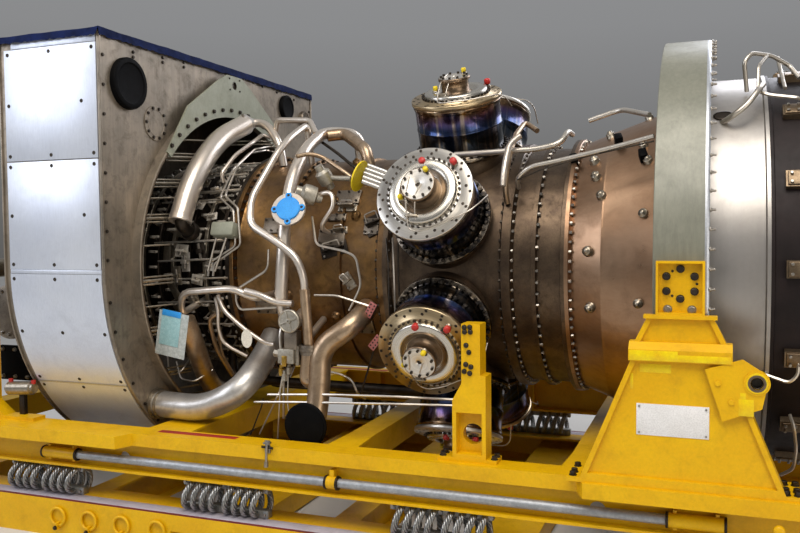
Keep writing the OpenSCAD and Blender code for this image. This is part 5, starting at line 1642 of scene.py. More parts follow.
@dataclass
class Combustors:
    """Combustion case with its ring of heat-blued cans, turned covers, caps and loop tubes.

    Attributes:
        x: Station of the cans.
        count: Number of cans.
        seat: Distance of a can's foot from the axis.
        reach: Distance of a can's outer face from the axis.
        body: Radius of a can.
        foot: Radius of its foot flange.
        flange: Radius of its cover.
        neck: Radius of its seat on the case.
        dish: Radius of the polished dish on its cover.
        boss: Radius and height of the boss on its cover.
        bolts: Bolts round the dish.
        start: Station of the combustion case's front flange.
        end: Station of its rear flange.
        radius: Radius of the combustion case.
    """

    x: float = 0.437
    count: int = 8
    seat: float = 0.745
    reach: float = 1.083
    body: float = 0.248
    foot: float = 0.278
    flange: float = 0.262
    neck: float = 0.264
    dish: float = 0.180
    boss: tuple[float, float] = (0.092, 0.110)
    bolts: int = 38
    start: float = 0.086
    end: float = 0.800
    radius: float = 0.704

    def case(self) -> None:
        """Turns the combustion case with its seats and bolt rows."""
        x0, x1, r, n = self.start, self.end, self.radius, self.neck
        case = lathe("combustion_casing", [
            (CORE, x0), (r + 0.022, x0), (r + 0.022, x0 + 0.028), (r, x0 + 0.050), (r, x1 - 0.040),
            (r + 0.030, x1 - 0.026), (r + 0.030, x1), (CORE, x1)], BROWN_CASE, 144)
        seat = lathe("seat", [
            (n - 0.016, 0.60), (n, 0.62), (n, self.seat - 0.002), (n - 0.002, self.seat), (0.0, self.seat)],
            BROWN_CASE, 48)
        seats = repeat("combustor_seats", seat, self.places())
        mount(join("combustion_casing", [on_axis(case), seats]), "combustion_case", slot="case_steel")
        rows = ring_of(x0 + 0.028, r + 0.008, 84, (1, 0, 0)) + ring_of(x1 - 0.026, r + 0.016, 84, (-1, 0, 0))
        fasten("combustion_bolts", 0.020, 0.014, BOLT_DARK, rows, "case_steel")

    def places(self) -> list[Matrix]:
        """Gives the frame of each can, with Z outwards."""
        return [can_place(self.x, (k + 0.5) * 360 / self.count) for k in range(self.count)]

    def bodies(self) -> None:
        """Builds the cans and their foot bolts."""
        s, c, b, f = self.seat, self.reach, self.body, self.foot
        can = keep_local(lathe("can", [
            (0.0, s), (f - 0.002, s), (f, s + 0.002), (f, s + 0.023), (f - 0.002, s + 0.025),
            (b + 0.006, s + 0.027), (b, s + 0.034), (b, s + 0.16), (b + 0.003, s + 0.163),
            (b + 0.003, s + 0.170), (b, s + 0.173), (b, c - 0.064), (b + 0.003, c - 0.056),
            (b + 0.008, c - 0.040), (b + 0.008, c - 0.026), (0.0, c - 0.026)], BLUED_CAN, 96))
        mount(repeat("cans", can, self.places()), "combustor_cans", slot="can_steel")
        feet = [q for p in self.places()
                for q in circle_on(p @ Matrix.Translation((0, 0, s + 0.025)), 0.264, 40)]
        fasten("can_foot_bolts", 0.018, 0.014, BOLT_DARK, feet, "can_steel")

    def plate(self, name: str, finish: Finish) -> Piece:
        """Turns one cover plate.

        Args:
            name: Name of the plate.
            finish: Its finish.

        Returns:
            The plate in the can's own frame.
        """
        c, f, d = self.reach, self.flange, self.dish
        return keep_local(lathe(name, [
            (0.22, c - 0.026), (f - 0.003, c - 0.026), (f, c - 0.023), (f, c - 0.003), (f - 0.003, c),
            (d + 0.025, c), (d + 0.024, c + 0.006), (d + 0.003, c + 0.006), (d, c + 0.004)], finish, 96))

    def covers(self) -> None:
        """Builds the turned covers with their bolt circles, polished dish and boss."""
        c, d, (b, h) = self.reach, self.dish, self.boss
        straw = repeat("straw_plates", self.plate("straw", STRAW_COVER), self.places()[::2])
        plain = repeat("plain_plates", self.plate("plain", TURNED_COVER), self.places()[1::2])
        mount(join("cover_plates", [straw, plain]), "can_covers", slot="cover_steel")
        dish = keep_local(lathe("dish", [
            (d + 0.002, c + 0.004), (d + 0.002, c + 0.026), (d - 0.002, c + 0.031), (d - 0.006, c + 0.034),
            (d - 0.030, c + 0.037), (d - 0.042, c + 0.036), (d - 0.052, c + 0.034), (d - 0.060, c + 0.027),
            (d - 0.068, c + 0.020), (d - 0.076, c + 0.015), (b + 0.006, c + 0.012), (b - 0.004, c + 0.012)],
            POLISHED_RING, 96))
        mount(repeat("cover_dishes", dish, self.places()), slot="cover_steel")
        boss = keep_local(lathe("boss", [
            (b + 0.005, c + 0.010), (b + 0.004, c + 0.018), (b - 0.012, c + 0.026),
            (b - 0.012, c + h - 0.025), (b, c + h - 0.017), (b, c + h - 0.004), (b - 0.004, c + h),
            (b - 0.006, c + h), (b - 0.007, c + h - 0.001)], BROWN_BOSS, 64))
        mount(repeat("cover_bosses", boss, self.places()), slot="cover_steel")
        face = keep_local(lathe("face", [
            (b - 0.006, c + h), (0.022, c + h), (0.020, c + h - 0.001), (0.014, c + h - 0.001),
            (0.013, c + h - 0.010), (0.0, c + h - 0.010)], TURNED_COVER, 64))
        mount(repeat("boss_faces", face, self.places()), slot="cover_steel")
        inner, outer, top = [], [], []
        for p in self.places():
            inner += circle_on(p @ Matrix.Translation((0, 0, c + 0.006)), 0.194, self.bolts, 4)
            outer += circle_on(p @ Matrix.Translation((0, 0, c)), 0.226, 14, 9)
            outer += circle_on(p @ Matrix.Translation((0, 0, c)), 0.248, 18, 21)
            top += circle_on(p @ Matrix.Translation((0, 0, c + h)), 0.074, 10, 14)
        fasten("cover_bolts", 0.015, 0.012, BOLT_DARK, inner, "cover_steel")
        # painted shade: flat dark discs stand in for the holes in the cover plates
        hole = lathe("hole", [(0.0085, 0.0006), (0.0070, 0.0012), (0.0, 0.0008)], DARK_STEEL, 10)
        mount(repeat("cover_holes", hole, outer), slot="cover_steel")
        fasten("boss_bolts", 0.016, 0.009, BOLT_DARK, top, "cover_steel")
        # painted shade: a flat dark hexagon stands in for the socket in each boss
        socket = lathe("socket", [(0.0125, 0.0), (0.0110, 0.0006), (0.0, 0.0004)], DARK_STEEL, 6)
        mount(repeat("boss_sockets", socket,
                     [p @ Matrix.Translation((0, 0, c + h - 0.0095)) for p in self.places()]),
              slot="cover_steel")

    def fittings(self) -> None:
        """Sets the transit caps and the pairs of loop tubes on every cover."""
        c = self.reach
        red = lathe("red", [
            (0.016, 0.018), (0.018, 0.020), (0.019, 0.040), (0.017, 0.046), (0.010, 0.049), (0.0, 0.050)],
            RED_CAP, 20)
        yellow = lathe("yellow", [
            (0.012, 0.010), (0.014, 0.012), (0.014, 0.030), (0.012, 0.034), (0.0, 0.035)], YELLOW_CAP, 16)
        stem = lathe("stem", [(0.018, 0.0), (0.018, 0.008), (0.012, 0.010), (0.012, 0.022), (0.0, 0.022)],
                     FITTING_STEEL, 12)
        reds, yellows = [], []
        for p in self.places():
            reds += [p @ Matrix.Translation((-0.020, 0.168, c)), p @ Matrix.Translation((0.150, 0.160, c))]
            yellows += [p @ Matrix.Translation((0.040, 0.072, c + 0.106)),
                        p @ Matrix.Translation((-0.105, -0.046, c + 0.036))]
        stems = repeat("cap_stems", stem, [m.copy() for m in reds + yellows])
        mount(repeat("red_caps", red, reds), slot="cover_steel")
        mount(repeat("yellow_caps", yellow, yellows), slot="cover_steel")
        mount(stems, slot="cover_steel")
        h = c + 0.012
        one = tube("one", [
            (-0.050, 0.046, c + 0.114), (-0.050, 0.0, c + 0.116), (-0.058, -0.075, c + 0.10),
            (-0.060, -0.150, c + 0.045), (-0.055, -0.205, h), (-0.010, -0.222, h), (0.080, -0.200, h),
            (0.170, -0.155, h), (0.262, -0.110, h + 0.004), (0.300, -0.060, h - 0.02),
            (0.315, 0.02, h - 0.10)], 0.008, LINE_STEEL, 0.03, 8, 4)
        two = tube("two", [
            (0.020, 0.0, c + 0.112), (-0.004, -0.060, c + 0.112), (-0.014, -0.110, c + 0.07),
            (-0.016, -0.165, c + 0.03), (0.000, -0.195, h), (0.040, -0.198, h), (0.120, -0.172, h)], 0.007,
            LINE_STEEL, 0.025, 8, 4)
        bar = block("clip", (-0.070, -0.152, c + 0.030), (-0.004, -0.140, c + 0.050), FITTING_STEEL, 0.002)
        parts = [repeat(f"loop_{k}", t, self.places()) for k, t in enumerate((one, two, bar))]
        mount(join("cover_loops", parts), slot="cover_steel")

    def build(self) -> None:
        """Builds the combustion section."""
        self.case()
        self.bodies()
        self.covers()
        self.fittings()


@dataclass
class Turbine:
    """Turbine case and copper-tinted cone up to the mount ring.

    Attributes:
        start: Station of the turbine case's front flange.
        case_end: Station where the cone begins.
        web: Station of the mount ring's web.
        radius: Radius of the turbine case.
        slope: How much the cone widens along X.
    """

    start: float = 0.800
    case_end: float = 1.113
    web: float = 1.701
    radius: float = 0.700
    slope: float = 0.331

    def clips(self) -> None:
        """Sets the black pipe clips on the cone."""
        parts = []
        for k, (px, a, lift) in enumerate(((1.12, 53.0, 0.030), (1.36, 56.0, 0.040), (1.50, 43.0, 0.025))):
            clip = block(f"clip_{k}", (-0.020, -0.030, -0.030), (0.020, 0.030, lift), BLACK_PLASTIC, 0.006)
            parts.append(moved(clip, on_case(px, 0.745 + (px - self.case_end) * self.slope, a, 15)))
        mount(join("cone_clips", parts), slot="cone_steel")

    def build(self) -> None:
        """Builds the case, the cone, bolt rows and thermocouple bosses."""
        x, t, w, r = self.start, self.case_end, self.web, self.radius
        case = lathe("turbine_casing", [
            (CORE, x), (r + 0.034, x), (r + 0.034, x + 0.022), (r, x + 0.036), (r, x + 0.130),
            (r + 0.026, x + 0.136), (r + 0.026, x + 0.158), (r, x + 0.164), (r, t - 0.030),
            (0.747, t - 0.022), (0.749, t - 0.020), (0.749, t), (CORE, t)], BROWN_CASE, 144)
        mount(on_axis(case), "turbine_case", slot="case_steel")
        cone = lathe("turbine_cone_shell", [
            (CORE, t), (0.749, t), (0.749, t + 0.020), (0.747, t + 0.022), (0.723, t + 0.030),
            (0.780, t + 0.190), (0.783, t + 0.190), (0.784, t + 0.196), (0.784, t + 0.200),
            (0.908, w - 0.030), (0.950, w - 0.026), (0.952, w - 0.024), (0.952, w), (CORE, w)],
            COPPER_CASE, 192)
        mount(on_axis(cone), "turbine_cone", slot="cone_steel")
        rows = (ring_of(x + 0.022, r + 0.016, 84, (1, 0, 0)) + ring_of(x + 0.158, r + 0.014, 72, (1, 0, 0))
                + ring_of(t + 0.022, 0.736, 90, (1, 0, 0)) + ring_of(w - 0.025, 0.930, 96, (-1, 0, 0)))
        fasten("turbine_bolts", 0.018, 0.014, BOLT_BRIGHT, rows, "case_steel")
        boss = lathe("boss", [
            (0.0, 0.040), (0.012, 0.040), (0.014, 0.030), (0.022, 0.028), (0.024, 0.026), (0.024, 0.006),
            (0.032, 0.0), (0.032, -0.03)], FITTING_STEEL, 20)
        tilt = math.atan2(0.185, 0.558)
        spots = []
        for px, a in (
                (1.24, 50), (1.26, 40), (1.50, 50), (1.53, 41), (1.30, 30), (1.24, 8), (1.52, 20),
                (1.25, -14), (1.5, -10), (1.3, 110), (1.5, 130), (1.3, 170), (1.5, 200), (1.3, 70),
                (1.5, 80)):
            way = outward(a) * math.cos(tilt) - Vector((math.sin(tilt), 0, 0))
            spots.append(facing(around(px, 0.723 + (px - t - 0.03) * self.slope, a), way))
        mount(repeat("cone_bosses", boss, spots), slot="cone_steel")
        self.clips()


@dataclass
class MountRing:
    """The wide band that hangs the engine between its trunnions, with its web and rolled lip.

    Attributes:
        radius: Outer radius of the band.
        start: Station of its front edge.
        end: Station of its rear edge.
        thick: Thickness of the band.
        web: First and last station of the web.
        bore: Inner radius of the web.
    """

    radius: float = 1.256
    start: float = 1.589
    end: float = 1.825
    thick: float = 0.014
    web: tuple[float, float] = (1.701, 1.717)
    bore: float = 0.890

    def build(self) -> None:
        """Builds the band, its web, its lip and the studs along its rear edge."""
        r, t, a, b, (w0, w1) = self.radius, self.thick, self.start, self.end, self.web
        band = lathe("ring_band", [
            (self.bore, w0), (r - t, w0), (r - t, a + 0.004), (r - t + 0.003, a), (r - 0.003, a),
            (r, a + 0.003), (r, b - 0.020), (r - t, b - 0.018), (r - t, w1), (self.bore, w1)], PRIMER, 240)
        mount(on_axis(band), "mount_ring", slot="ring_primer")
        lip = lathe("ring_lip", [
            (r - t, b - 0.020), (r - 0.001, b - 0.020), (r, b - 0.014), (r - 0.002, b - 0.005),
            (r - 0.007, b), (r - 0.012, b - 0.001), (r - t, b - 0.006)], EDGE_ALUMINIUM, 240)
        mount(on_axis(lip), slot="ring_primer")
        stud = lathe("stud", [
            (0.0, 0.026), (0.005, 0.026), (0.006, 0.022), (0.006, 0.010), (0.010, 0.008), (0.010, 0.0)],
            BOLT_BRIGHT, 10)
        mount(repeat("ring_studs", stud, ring_of(b - 0.001, r - 0.010, 90, (1, 0, 0), 2.0)),
              slot="ring_primer")


@dataclass
class Exhaust:
    """Rolled exhaust case, dark rear frame with its bolting pads, last stage and hub.

    Attributes:
        start: Station of the exhaust case's front flange.
        end: Station where the rear frame begins.
        tail: Station of the rear frame's end.
        radius: Radius of the case.
        blades: Blades of the last stage.
        blade: Chord, thickness and span of a blade.
        twist: Degrees that a blade turns at each of its levels.
        levels: Levels at which a blade turns.
        stagger: Degrees between a blade's foot and the engine's axis.
        root: Distance of the blades' feet from the axis.
    """

    start: float = 1.717
    end: float = 2.082
    tail: float = 2.495
    radius: float = 1.035
    blades: int = 64
    blade: Point = (0.100, 0.006, 0.540)
    twist: float = 8.0
    levels: int = 6
    stagger: float = 28.0
    root: float = 0.466

    def shells(self) -> None:
        """Turns the exhaust case, the rear frame and the hub."""
        r, x, e, f = self.radius, self.start, self.end, self.tail
        shell = lathe("exhaust_shell", [
            (r - 0.014, x), (r + 0.026, x), (r + 0.028, x + 0.002), (r + 0.028, x + 0.018),
            (r + 0.026, x + 0.020), (r, x + 0.024), (r, x + 0.090), (r + 0.002, x + 0.092),
            (r + 0.002, x + 0.096), (r, x + 0.098), (r, e - 0.022), (r + 0.010, e - 0.018),
            (r + 0.012, e - 0.016), (r + 0.012, e), (r - 0.014, e)], EXHAUST_SHEET, 240)
        mount(on_axis(shell), "exhaust_case", slot="exhaust_steel")
        tail = lathe("rear_frame_shell", [
            (r - 0.014, f), (r - 0.014, e), (r + 0.012, e), (r + 0.012, e + 0.014), (r + 0.010, e + 0.016),
            (r - 0.002, e + 0.018), (r - 0.002, f - 0.024), (r + 0.022, f - 0.024), (r + 0.024, f - 0.022),
            (r + 0.024, f - 0.002), (r + 0.022, f), (r - 0.014, f)], FRAME_DARK, 240)
        mount(on_axis(tail), "rear_frame", slot="frame_steel")
        hub = lathe("rear_hub_shell", [
            (0.0, e - 0.010), (0.360, e - 0.010), (0.420, e + 0.030), (0.420, e + 0.300), (0.360, e + 0.350),
            (0.192, e + 0.380), (0.190, e + 0.382), (0.190, e + 0.402), (0.0, e + 0.402)], COPPER_CASE, 96)
        mount(on_axis(hub), "rear_hub", slot="frame_steel")
        rows = (ring_of(x + 0.020, r + 0.014, 110, (1, 0, 0)) + ring_of(f, r + 0.004, 96, (1, 0, 0))
                + ring_of(e + 0.402, 0.150, 16, (1, 0, 0)) + ring_of(e + 0.352, 0.30, 24, (1, 0, 0)))
        fasten("exhaust_bolts", 0.018, 0.010, BOLT_BRIGHT, rows, "exhaust_steel")
        port = lathe("oval_port", [
            (0.048, 0.0), (0.048, 0.006), (0.040, 0.008), (0.038, 0.004), (0.0, 0.003)], DARK_STEEL, 32)
        mount(moved(port, on_case(1.881, r, 47.6) @ Matrix.Scale(0.7, 4, (0, 1, 0))), slot="exhaust_steel")

    def stage(self) -> None:
        """Builds the last row of blades between the hub and the case."""
        deselect()
        bpy.ops.mesh.primitive_cube_add(size=1, location=(0, 0, 0.5))
        blade = bpy.context.active_object
        blade.scale = self.blade
        bpy.ops.object.transform_apply(location=True, rotation=True, scale=True)
        bpy.ops.object.mode_set(mode="EDIT")
        bpy.ops.mesh.select_all(action="SELECT")
        bpy.ops.mesh.subdivide(number_cuts=self.levels - 1)
        rise = self.blade[2] / self.levels
        for level in range(1, self.levels + 1):
            shape = edit_faces(blade)
            for vertex in shape.verts:
                vertex.select_set(vertex.co.z > rise * level - 0.005)
            put_back(blade, shape)
            bpy.ops.transform.rotate(value=math.radians(-self.twist), orient_axis="Z",
                                     center_override=(0, 0, 0))
        bpy.ops.object.mode_set(mode="OBJECT")
        blade = settle(blade, "blade", CASE_STEEL, 50)
        low = min(v.co.z for v in blade.data.vertices)
        blade.data.transform(Matrix.Translation((0, 0, self.root - low))
                             @ Matrix.Rotation(math.radians(self.stagger), 4, "Z"))
        x = self.end - 0.085
        disc = lathe("last_stage_rotor", [
            (0.0, x - 0.03), (0.470, x - 0.04), (0.470, x + 0.045), (0.440, x + 0.055), (0.0, x + 0.055)],
            CASE_STEEL, 96)
        spread = repeat("blades", blade, [can_place(x, k * 360 / self.blades) for k in range(self.blades)])
        mount(join("last_stage", [on_axis(disc), spread]), "last_stage_disc", slot="exhaust_steel")

    def pads(self) -> None:
        """Bolts down the pads on the rear frame."""
        x, r = self.end + 0.15, self.radius
        places = [can_place(x, k * 22.5 - 2) @ Matrix.Translation((0, 0, r + 0.028)) for k in range(16)]
        lid = block("lid", (-0.082, -0.034, 0.0), (0.082, 0.034, 0.008), PAD_METAL, 0.003)
        mount(repeat("pad_lids", lid, places), slot="pad_steel")
        spots = [p @ Matrix.Translation((u, v, 0.008)) for p in places for u in (-0.066, -0.022, 0.022, 0.066)
                 for v in (-0.022, 0.022)]
        fasten("pad_bolts", 0.015, 0.009, BOLT_BRIGHT, spots, "pad_steel")

    def build(self) -> None:
        """Builds the exhaust end."""
        paint(("frame_pads",), PAD_METAL)
        paint(("rear_struts",), COPPER_CASE)
        self.shells()
        self.stage()
        self.pads()


@dataclass
class Pipework:
    """Ducts, service pipes, small lines, clamps, blanks and tags over the engine.

    Attributes:
        bleed: Station of the bleed duct in millimetres.
        manifold: Station of the manifold pipe in millimetres.
        service: Station of the service pipes in millimetres.
    """

    bleed: float = BLEED_MM
    manifold: float = -460.0
    service: float = -610.0

    def bleed_pipe(self) -> None:
        """Bends the wide bleed duct, its cone down to the thin tail, its clamps and open socket."""
        x = self.bleed
        top, tail = spot(x + 50, 955, 81), spot(x + 130, 965, 84)
        main = Route("bleed_pipe", 136, TUBE_BRIGHT, 110, (
            spot(x, 886, 19), spot(x, 886, 34), spot(x, 890, 50), spot(x, 915, 66), top)).lay()
        neck = Route("bleed_neck", 84, DARK_STEEL, 60,
                     (spot(x, 792, 17), spot(x, 868, 18), spot(x, 884, 24))).lay()
        way = (Vector(tail) - Vector(top)).normalized()
        thin = Route("bleed_tail", 55.8, TUBE_BRIGHT, 80, (
            tuple(Vector(top) - 30 * way), tail, spot(x + 220, 930, 82), spot(-845, 820, 76),
            spot(-825, 676.3, 74))).lay()
        cone = lathe("bleed_reducer", [
            (0.0670, -0.004), (0.0695, 0.0), (0.0695, 0.012), (0.0650, 0.018), (0.0310, 0.058),
            (0.0290, 0.064), (0.0275, 0.064)], TUBE_SILVER, 48)
        cone.data.transform(facing(Vector(top) / 1000, way))
        mount(join("bleed_pipe", [main, neck, thin, cone]), "bleed_duct", slot="duct_steel")
        mouth = around(x / 1000, 0.886, 19)
        down = mouth - around(x / 1000, 0.886, 26)
        lip = lathe("bleed_socket", [
            (0.066, -0.040), (0.0685, -0.038), (0.0687, -0.006), (0.0700, -0.003), (0.0702, 0.004),
            (0.0685, 0.007), (0.0650, 0.007), (0.0640, -0.004), (0.0, -0.006)], TUBE_BRIGHT, 48)
        lip.data.transform(facing(mouth, down))
        clamp = collar("bleed_clamp", facing(Vector(top) / 1000 - way * 0.006, way), 0.068, 0.016, 0.007,
                       CASE_STEEL)
        mount(join("bleed_fittings", [lip, clamp]), slot="duct_steel")

    def ducts(self) -> None:
        """Bends the large ducts in place of the CAD sweeps."""
        x = self.bleed
        lower = Route("lower_bleed_pipe", 160, TUBE_SILVER, 200, (
            (-1370, -865, 724), (-985, -905, 724), (-725, -920, 850), spot(-725, 880, -40),
            spot(-725, 677, -40))).lay()
        mount(lower, "lower_bleed_duct", slot="duct_steel")
        mouth = (-237, -1050, 715)
        cross = Route("crossover_pipe", 126, TUBE_BROWN, 90, (
            spot(-40, 677, -20), spot(-40, 880, -20), (-225, -885, 1120), (-231, -905, 860),
            (-237, -940, 720), mouth)).lay()
        mount(cross, "crossover_duct", slot="duct_bronze")
        k = self.manifold
        manifold = Route("manifold", 76, TUBE_BRIGHT, 110, (
            spot(k + 130, 677, 88), spot(k + 110, 850, 88), spot(k - 60, 880, 78), spot(k - 40, 880, 55),
            spot(k - 30, 880, 37), spot(k - 10, 880, 20), spot(k, 880, 5), spot(k - 30, 880, -12),
            spot(k - 10, 860, -24), spot(k - 10, 677, -24))).lay()
        mount(manifold, "manifold_pipe", slot="duct_steel")
        m = self.service
        service = [
            Route("service_a", 44, TUBE_BRIGHT, 60, (
                spot(m, 677, 74), spot(m, 940, 74), spot(m + 10, 945, 57), spot(m - 10, 940, 48),
                spot(m - 70, 940, 26), spot(m - 45, 945, 16), spot(m + 140, 950, 10),
                spot(m + 265, 945, 5), spot(m + 315, 940, -2), spot(m + 270, 920, -26),
                spot(m + 270, 677, -27))).lay(),
            Route("service_b", 44, TUBE_BRIGHT, 60, (
                spot(x, 576, -20), spot(x, 890, -18), spot(x + 40, 900, -9), spot(m - 180, 900, -7),
                spot(m - 30, 890, -11), spot(m - 20, 677, -13))).lay()]
        mount(join("service_tubes", service), "service_pipes", slot="duct_steel")
        blank = lathe("duct_blank_disc", [
            (0.0, 0.0), (0.123, 0.0), (0.125, 0.002), (0.125, 0.016), (0.122, 0.019), (0.117, 0.020),
            (0.115, 0.024), (0.0, 0.025)], BLACK_PLASTIC, 64)
        mount(moved(blank, facing((-0.237, -1.0503, 0.715), (0, -1, 0))), "duct_blank", slot="blank_plastic")

    def lines(self) -> None:
        """Bends the extra pipes and small lines that the photograph shows."""
        routes = (
            Route("brown_downpipe", 124, TUBE_BROWN, 120, (
                (-1155, -845, 1245), (-1145, -760, 1075), (-1195, -600, 885), (-1255, -415, 755),
                (-1255, -300, 700))),
            Route("brown_elbow", 75, TUBE_BROWN, 90, (
                (-470, -250, 2380), (-375, -190, 2395), (-135, -415, 2265), (-110, -430, 2185),
                (-100, -380, 2080))),
            Route("branch_elbow", 86, TUBE_BROWN, 70, (
                (-290, -900, 1110), (-305, -905, 925), (-232, -895, 945))),
            Route("branch_riser", 58, TUBE_BROWN, 40, ((-304, -917, 1450), (-290, -900, 1110))),
            Route("tan_pipe", 32, TUBE_BROWN, 60, (
                (795, -650, 1920), (795, -715, 2015), (805, -685, 2135), (805, -515, 2290),
                (805, -240, 2400), (895, -340, 2335))),
            Route("cone_line_a", 26, LINE_STEEL, 60, (
                (855, -640, 2000), (855, -695, 2045), (925, -715, 2105), (1110, -730, 2135),
                (1375, -775, 2185), (1565, -820, 2225))),
            Route("cone_line_b", 32, LINE_STEEL, 60, (
                (485, -605, 2195), (955, -620, 2205), (1080, -625, 2230), (1100, -535, 2305),
                (1100, -380, 2300))),
            Route("cone_line_c", 27, LINE_STEEL, 60, (
                (1210, -515, 2355), (1380, -525, 2405), (1540, -775, 2335))),
            Route("cone_harness", 9, BOLT_DARK, 30, (
                (860, -700, 2040), (1000, -730, 2090), (1250, -750, 2150), (1565, -835, 2200))),
            Route("can_line", 34, TUBE_BRIGHT, 60, (
                (855, -615, 2280), (810, -665, 2235), (805, -755, 2115), (800, -780, 2005))),
            Route("exhaust_line_a", 28, LINE_STEEL, 50, (
                (1855, -695, 2275), (1910, -785, 2300), (1985, -785, 2355), (2035, -750, 2430),
                (2060, -640, 2470))),
            Route("exhaust_line_b", 20, LINE_STEEL, 50, (
                (2140, -360, 2645), (2150, -425, 2570), (2160, -600, 2450))),
            Route("exhaust_line_e", 22, LINE_STEEL, 25, (
                (1990, -535, 2455), (1975, -590, 2595), (2010, -560, 2640), (2105, -500, 2630),
                (2190, -440, 2585), (2230, -505, 2510))),
            Route("exhaust_line_f", 18, LINE_STEEL, 25, (
                (2085, -514, 2632), (2040, -640, 2560), (2035, -690, 2430), (2085, -720, 2405),
                (2210, -745, 2380), (2245, -690, 2370))),
            Route("exhaust_line_c", 16, LINE_STEEL, 30, (
                (2060, -950, 1105), (2165, -985, 1075), (2200, -985, 1115), (2200, -995, 1185),
                (2200, -960, 1230))),
            Route("exhaust_line_d", 16, LINE_STEEL, 30, (
                (2150, -740, 585), (2200, -800, 635), (2210, -830, 740), (2195, -860, 855),
                (2180, -830, 900))),
            Route("thin_c", 14, LINE_STEEL, 40, (
                (-350, -720, 1860), (-305, -765, 1695), (-120, -775, 1660), (-50, -775, 1630),
                (-20, -775, 1465), (-110, -745, 1320))),
            Route("thin_d", 14, LINE_STEEL, 30, ((-320, -765, 1405), (-175, -765, 1405), (30, -750, 1345))),
            Route("hook_a", 24, TUBE_BRIGHT, 40, (
                (-955, -110, 2400), (-1020, -110, 2430), (-940, -375, 2350), (-980, -530, 2255),
                (-1005, -650, 2135), (-1010, -620, 2085))),
            Route("hairpin", 40, TUBE_BRIGHT, 30, (
                (-560, -230, 2400), (-650, -140, 2500), (-890, -140, 2515), (-915, -120, 2440))),
            Route("top_line_a", 9, LINE_STEEL, 20, (
                (-1315, -105, 2395), (-1100, -100, 2390), (-875, -95, 2375))),
            Route("top_line_b", 9, LINE_STEEL, 20, (
                (-1315, -100, 2372), (-1105, -95, 2368), (-885, -95, 2360))),
            Route("twin_a", 13, LINE_STEEL, 25, (
                (-890, -85, 2330), (-975, -90, 2350), (-965, -315, 2310), (-960, -535, 2190),
                (-970, -670, 1995), (-840, -735, 1920), (-795, -785, 1695), (-970, -800, 1585),
                (-980, -800, 1510))),
            Route("twin_b", 13, LINE_STEEL, 25, (
                (-930, -85, 2305), (-1010, -90, 2325), (-1000, -325, 2285), (-995, -535, 2165),
                (-1005, -670, 1985), (-870, -735, 1905), (-830, -785, 1690), (-1005, -800, 1590),
                (-1015, -800, 1510))),
            Route("cross_line", 26, TUBE_BROWN, 40, (
                (-455, -700, 2215), (-405, -640, 2235), (-335, -600, 2215), (-180, -640, 2120),
                (-100, -640, 2060))),
            Route("dark_line", 20, BOLT_DARK, 30, (
                (-580, -200, 2380), (-340, -380, 2255), (-155, -500, 2140))),
            Route("low_a", 14, LINE_STEEL, 60, (
                (-560, -900, 835), (-163, -950, 870), (256, -950, 885), (620, -900, 880))),
            Route("low_b", 14, LINE_STEEL, 60, (
                (-650, -900, 786), (-352, -950, 815), (255, -950, 845), (620, -900, 850))),
            Route("blue_can_line", 14, LINE_STEEL, 40, (
                (-585, -820, 1670), (-575, -850, 1555), (-785, -860, 1435), (-790, -850, 1360),
                (-775, -835, 1315), (-435, -855, 1345))),
            Route("looped_a", 26, TUBE_BRIGHT, 60, (
                (-920, -845, 1400), (-875, -855, 1310), (-750, -850, 1210), (-615, -835, 1125),
                (-540, -850, 1120))),
            Route("looped_b", 22, TUBE_BRIGHT, 60, (
                (-940, -840, 1380), (-920, -845, 1305), (-935, -825, 1200), (-925, -795, 1115),
                (-880, -785, 1080), (-785, -750, 1025))),
            Route("looped_c", 28, TUBE_BROWN, 70, (
                (-955, -795, 1285), (-1010, -795, 1255), (-1025, -775, 1210), (-1045, -680, 1045),
                (-1065, -475, 850))),
            Route("looped_d", 18, TUBE_BROWN, 60, (
                (-990, -720, 1180), (-1005, -710, 1125), (-1040, -625, 1005), (-1060, -470, 855))),
            Route("service_tail", 40, TUBE_BRIGHT, 50, (
                (-700, -896, 1432), (-595, -900, 1410), (-505, -892, 1368), (-395, -890, 1365))),
            Route("riser_line", 16, LINE_STEEL, 30, (
                (-460, -905, 1240), (-460, -930, 1180), (-455, -900, 900), (-470, -880, 700))),
            Route("drop_a", 8, LINE_STEEL, 20, ((-448, -920, 960), (-468, -920, 880), (-489, -920, 590))),
            Route("drop_b", 8, LINE_STEEL, 30, ((-432, -905, 960), (-528, -900, 769), (-620, -900, 600))),
            Route("drop_c", 8, BOLT_DARK, 20, ((-590, -900, 810), (-602, -900, 764), (-680, -900, 590))),
            Route("drop_d", 8, LINE_STEEL, 20, ((-420, -910, 960), (-430, -905, 800), (-405, -900, 600))),
            Route("under_loop_a", 14, LINE_STEEL, 40, (
                (-300, -600, 930), (-231, -600, 920), (-160, -600, 890), (-128, -600, 811),
                (-120, -500, 760))),
            Route("under_loop_b", 12, BOLT_DARK, 40, (
                (-110, -600, 800), (-86, -600, 870), (-23, -600, 1063))),
            Route("under_loop_c", 12, LINE_STEEL, 40, (
                (-1396, -700, 1010), (-1390, -700, 900), (-1338, -700, 876), (-1290, -700, 905),
                (-1270, -600, 1000))),
            Route("under_loop_d", 12, LINE_STEEL, 30, (
                (-1330, -700, 960), (-1300, -700, 850), (-1196, -700, 839), (-1130, -600, 900))),
            # dark pipes under the engine: partly the black pipes there, partly painted shade of the dark
            # underside
            Route("drain_a", 60, DARK_STEEL, 90, (
                (-1150, -330, 1060), (-1150, -330, 800), (560, -330, 790), (560, -330, 880))),
            Route("drain_b", 46, DARK_STEEL, 90, (
                (-1020, -120, 1000), (-1020, -120, 735), (330, -150, 730), (330, -150, 840))),
            Route("harness_v1", 10, BOLT_DARK, 10, (
                (120, -740, 1735), (140, -760, 1600), (140, -750, 1300))),
            Route("harness_v2", 10, LINE_STEEL, 10, (
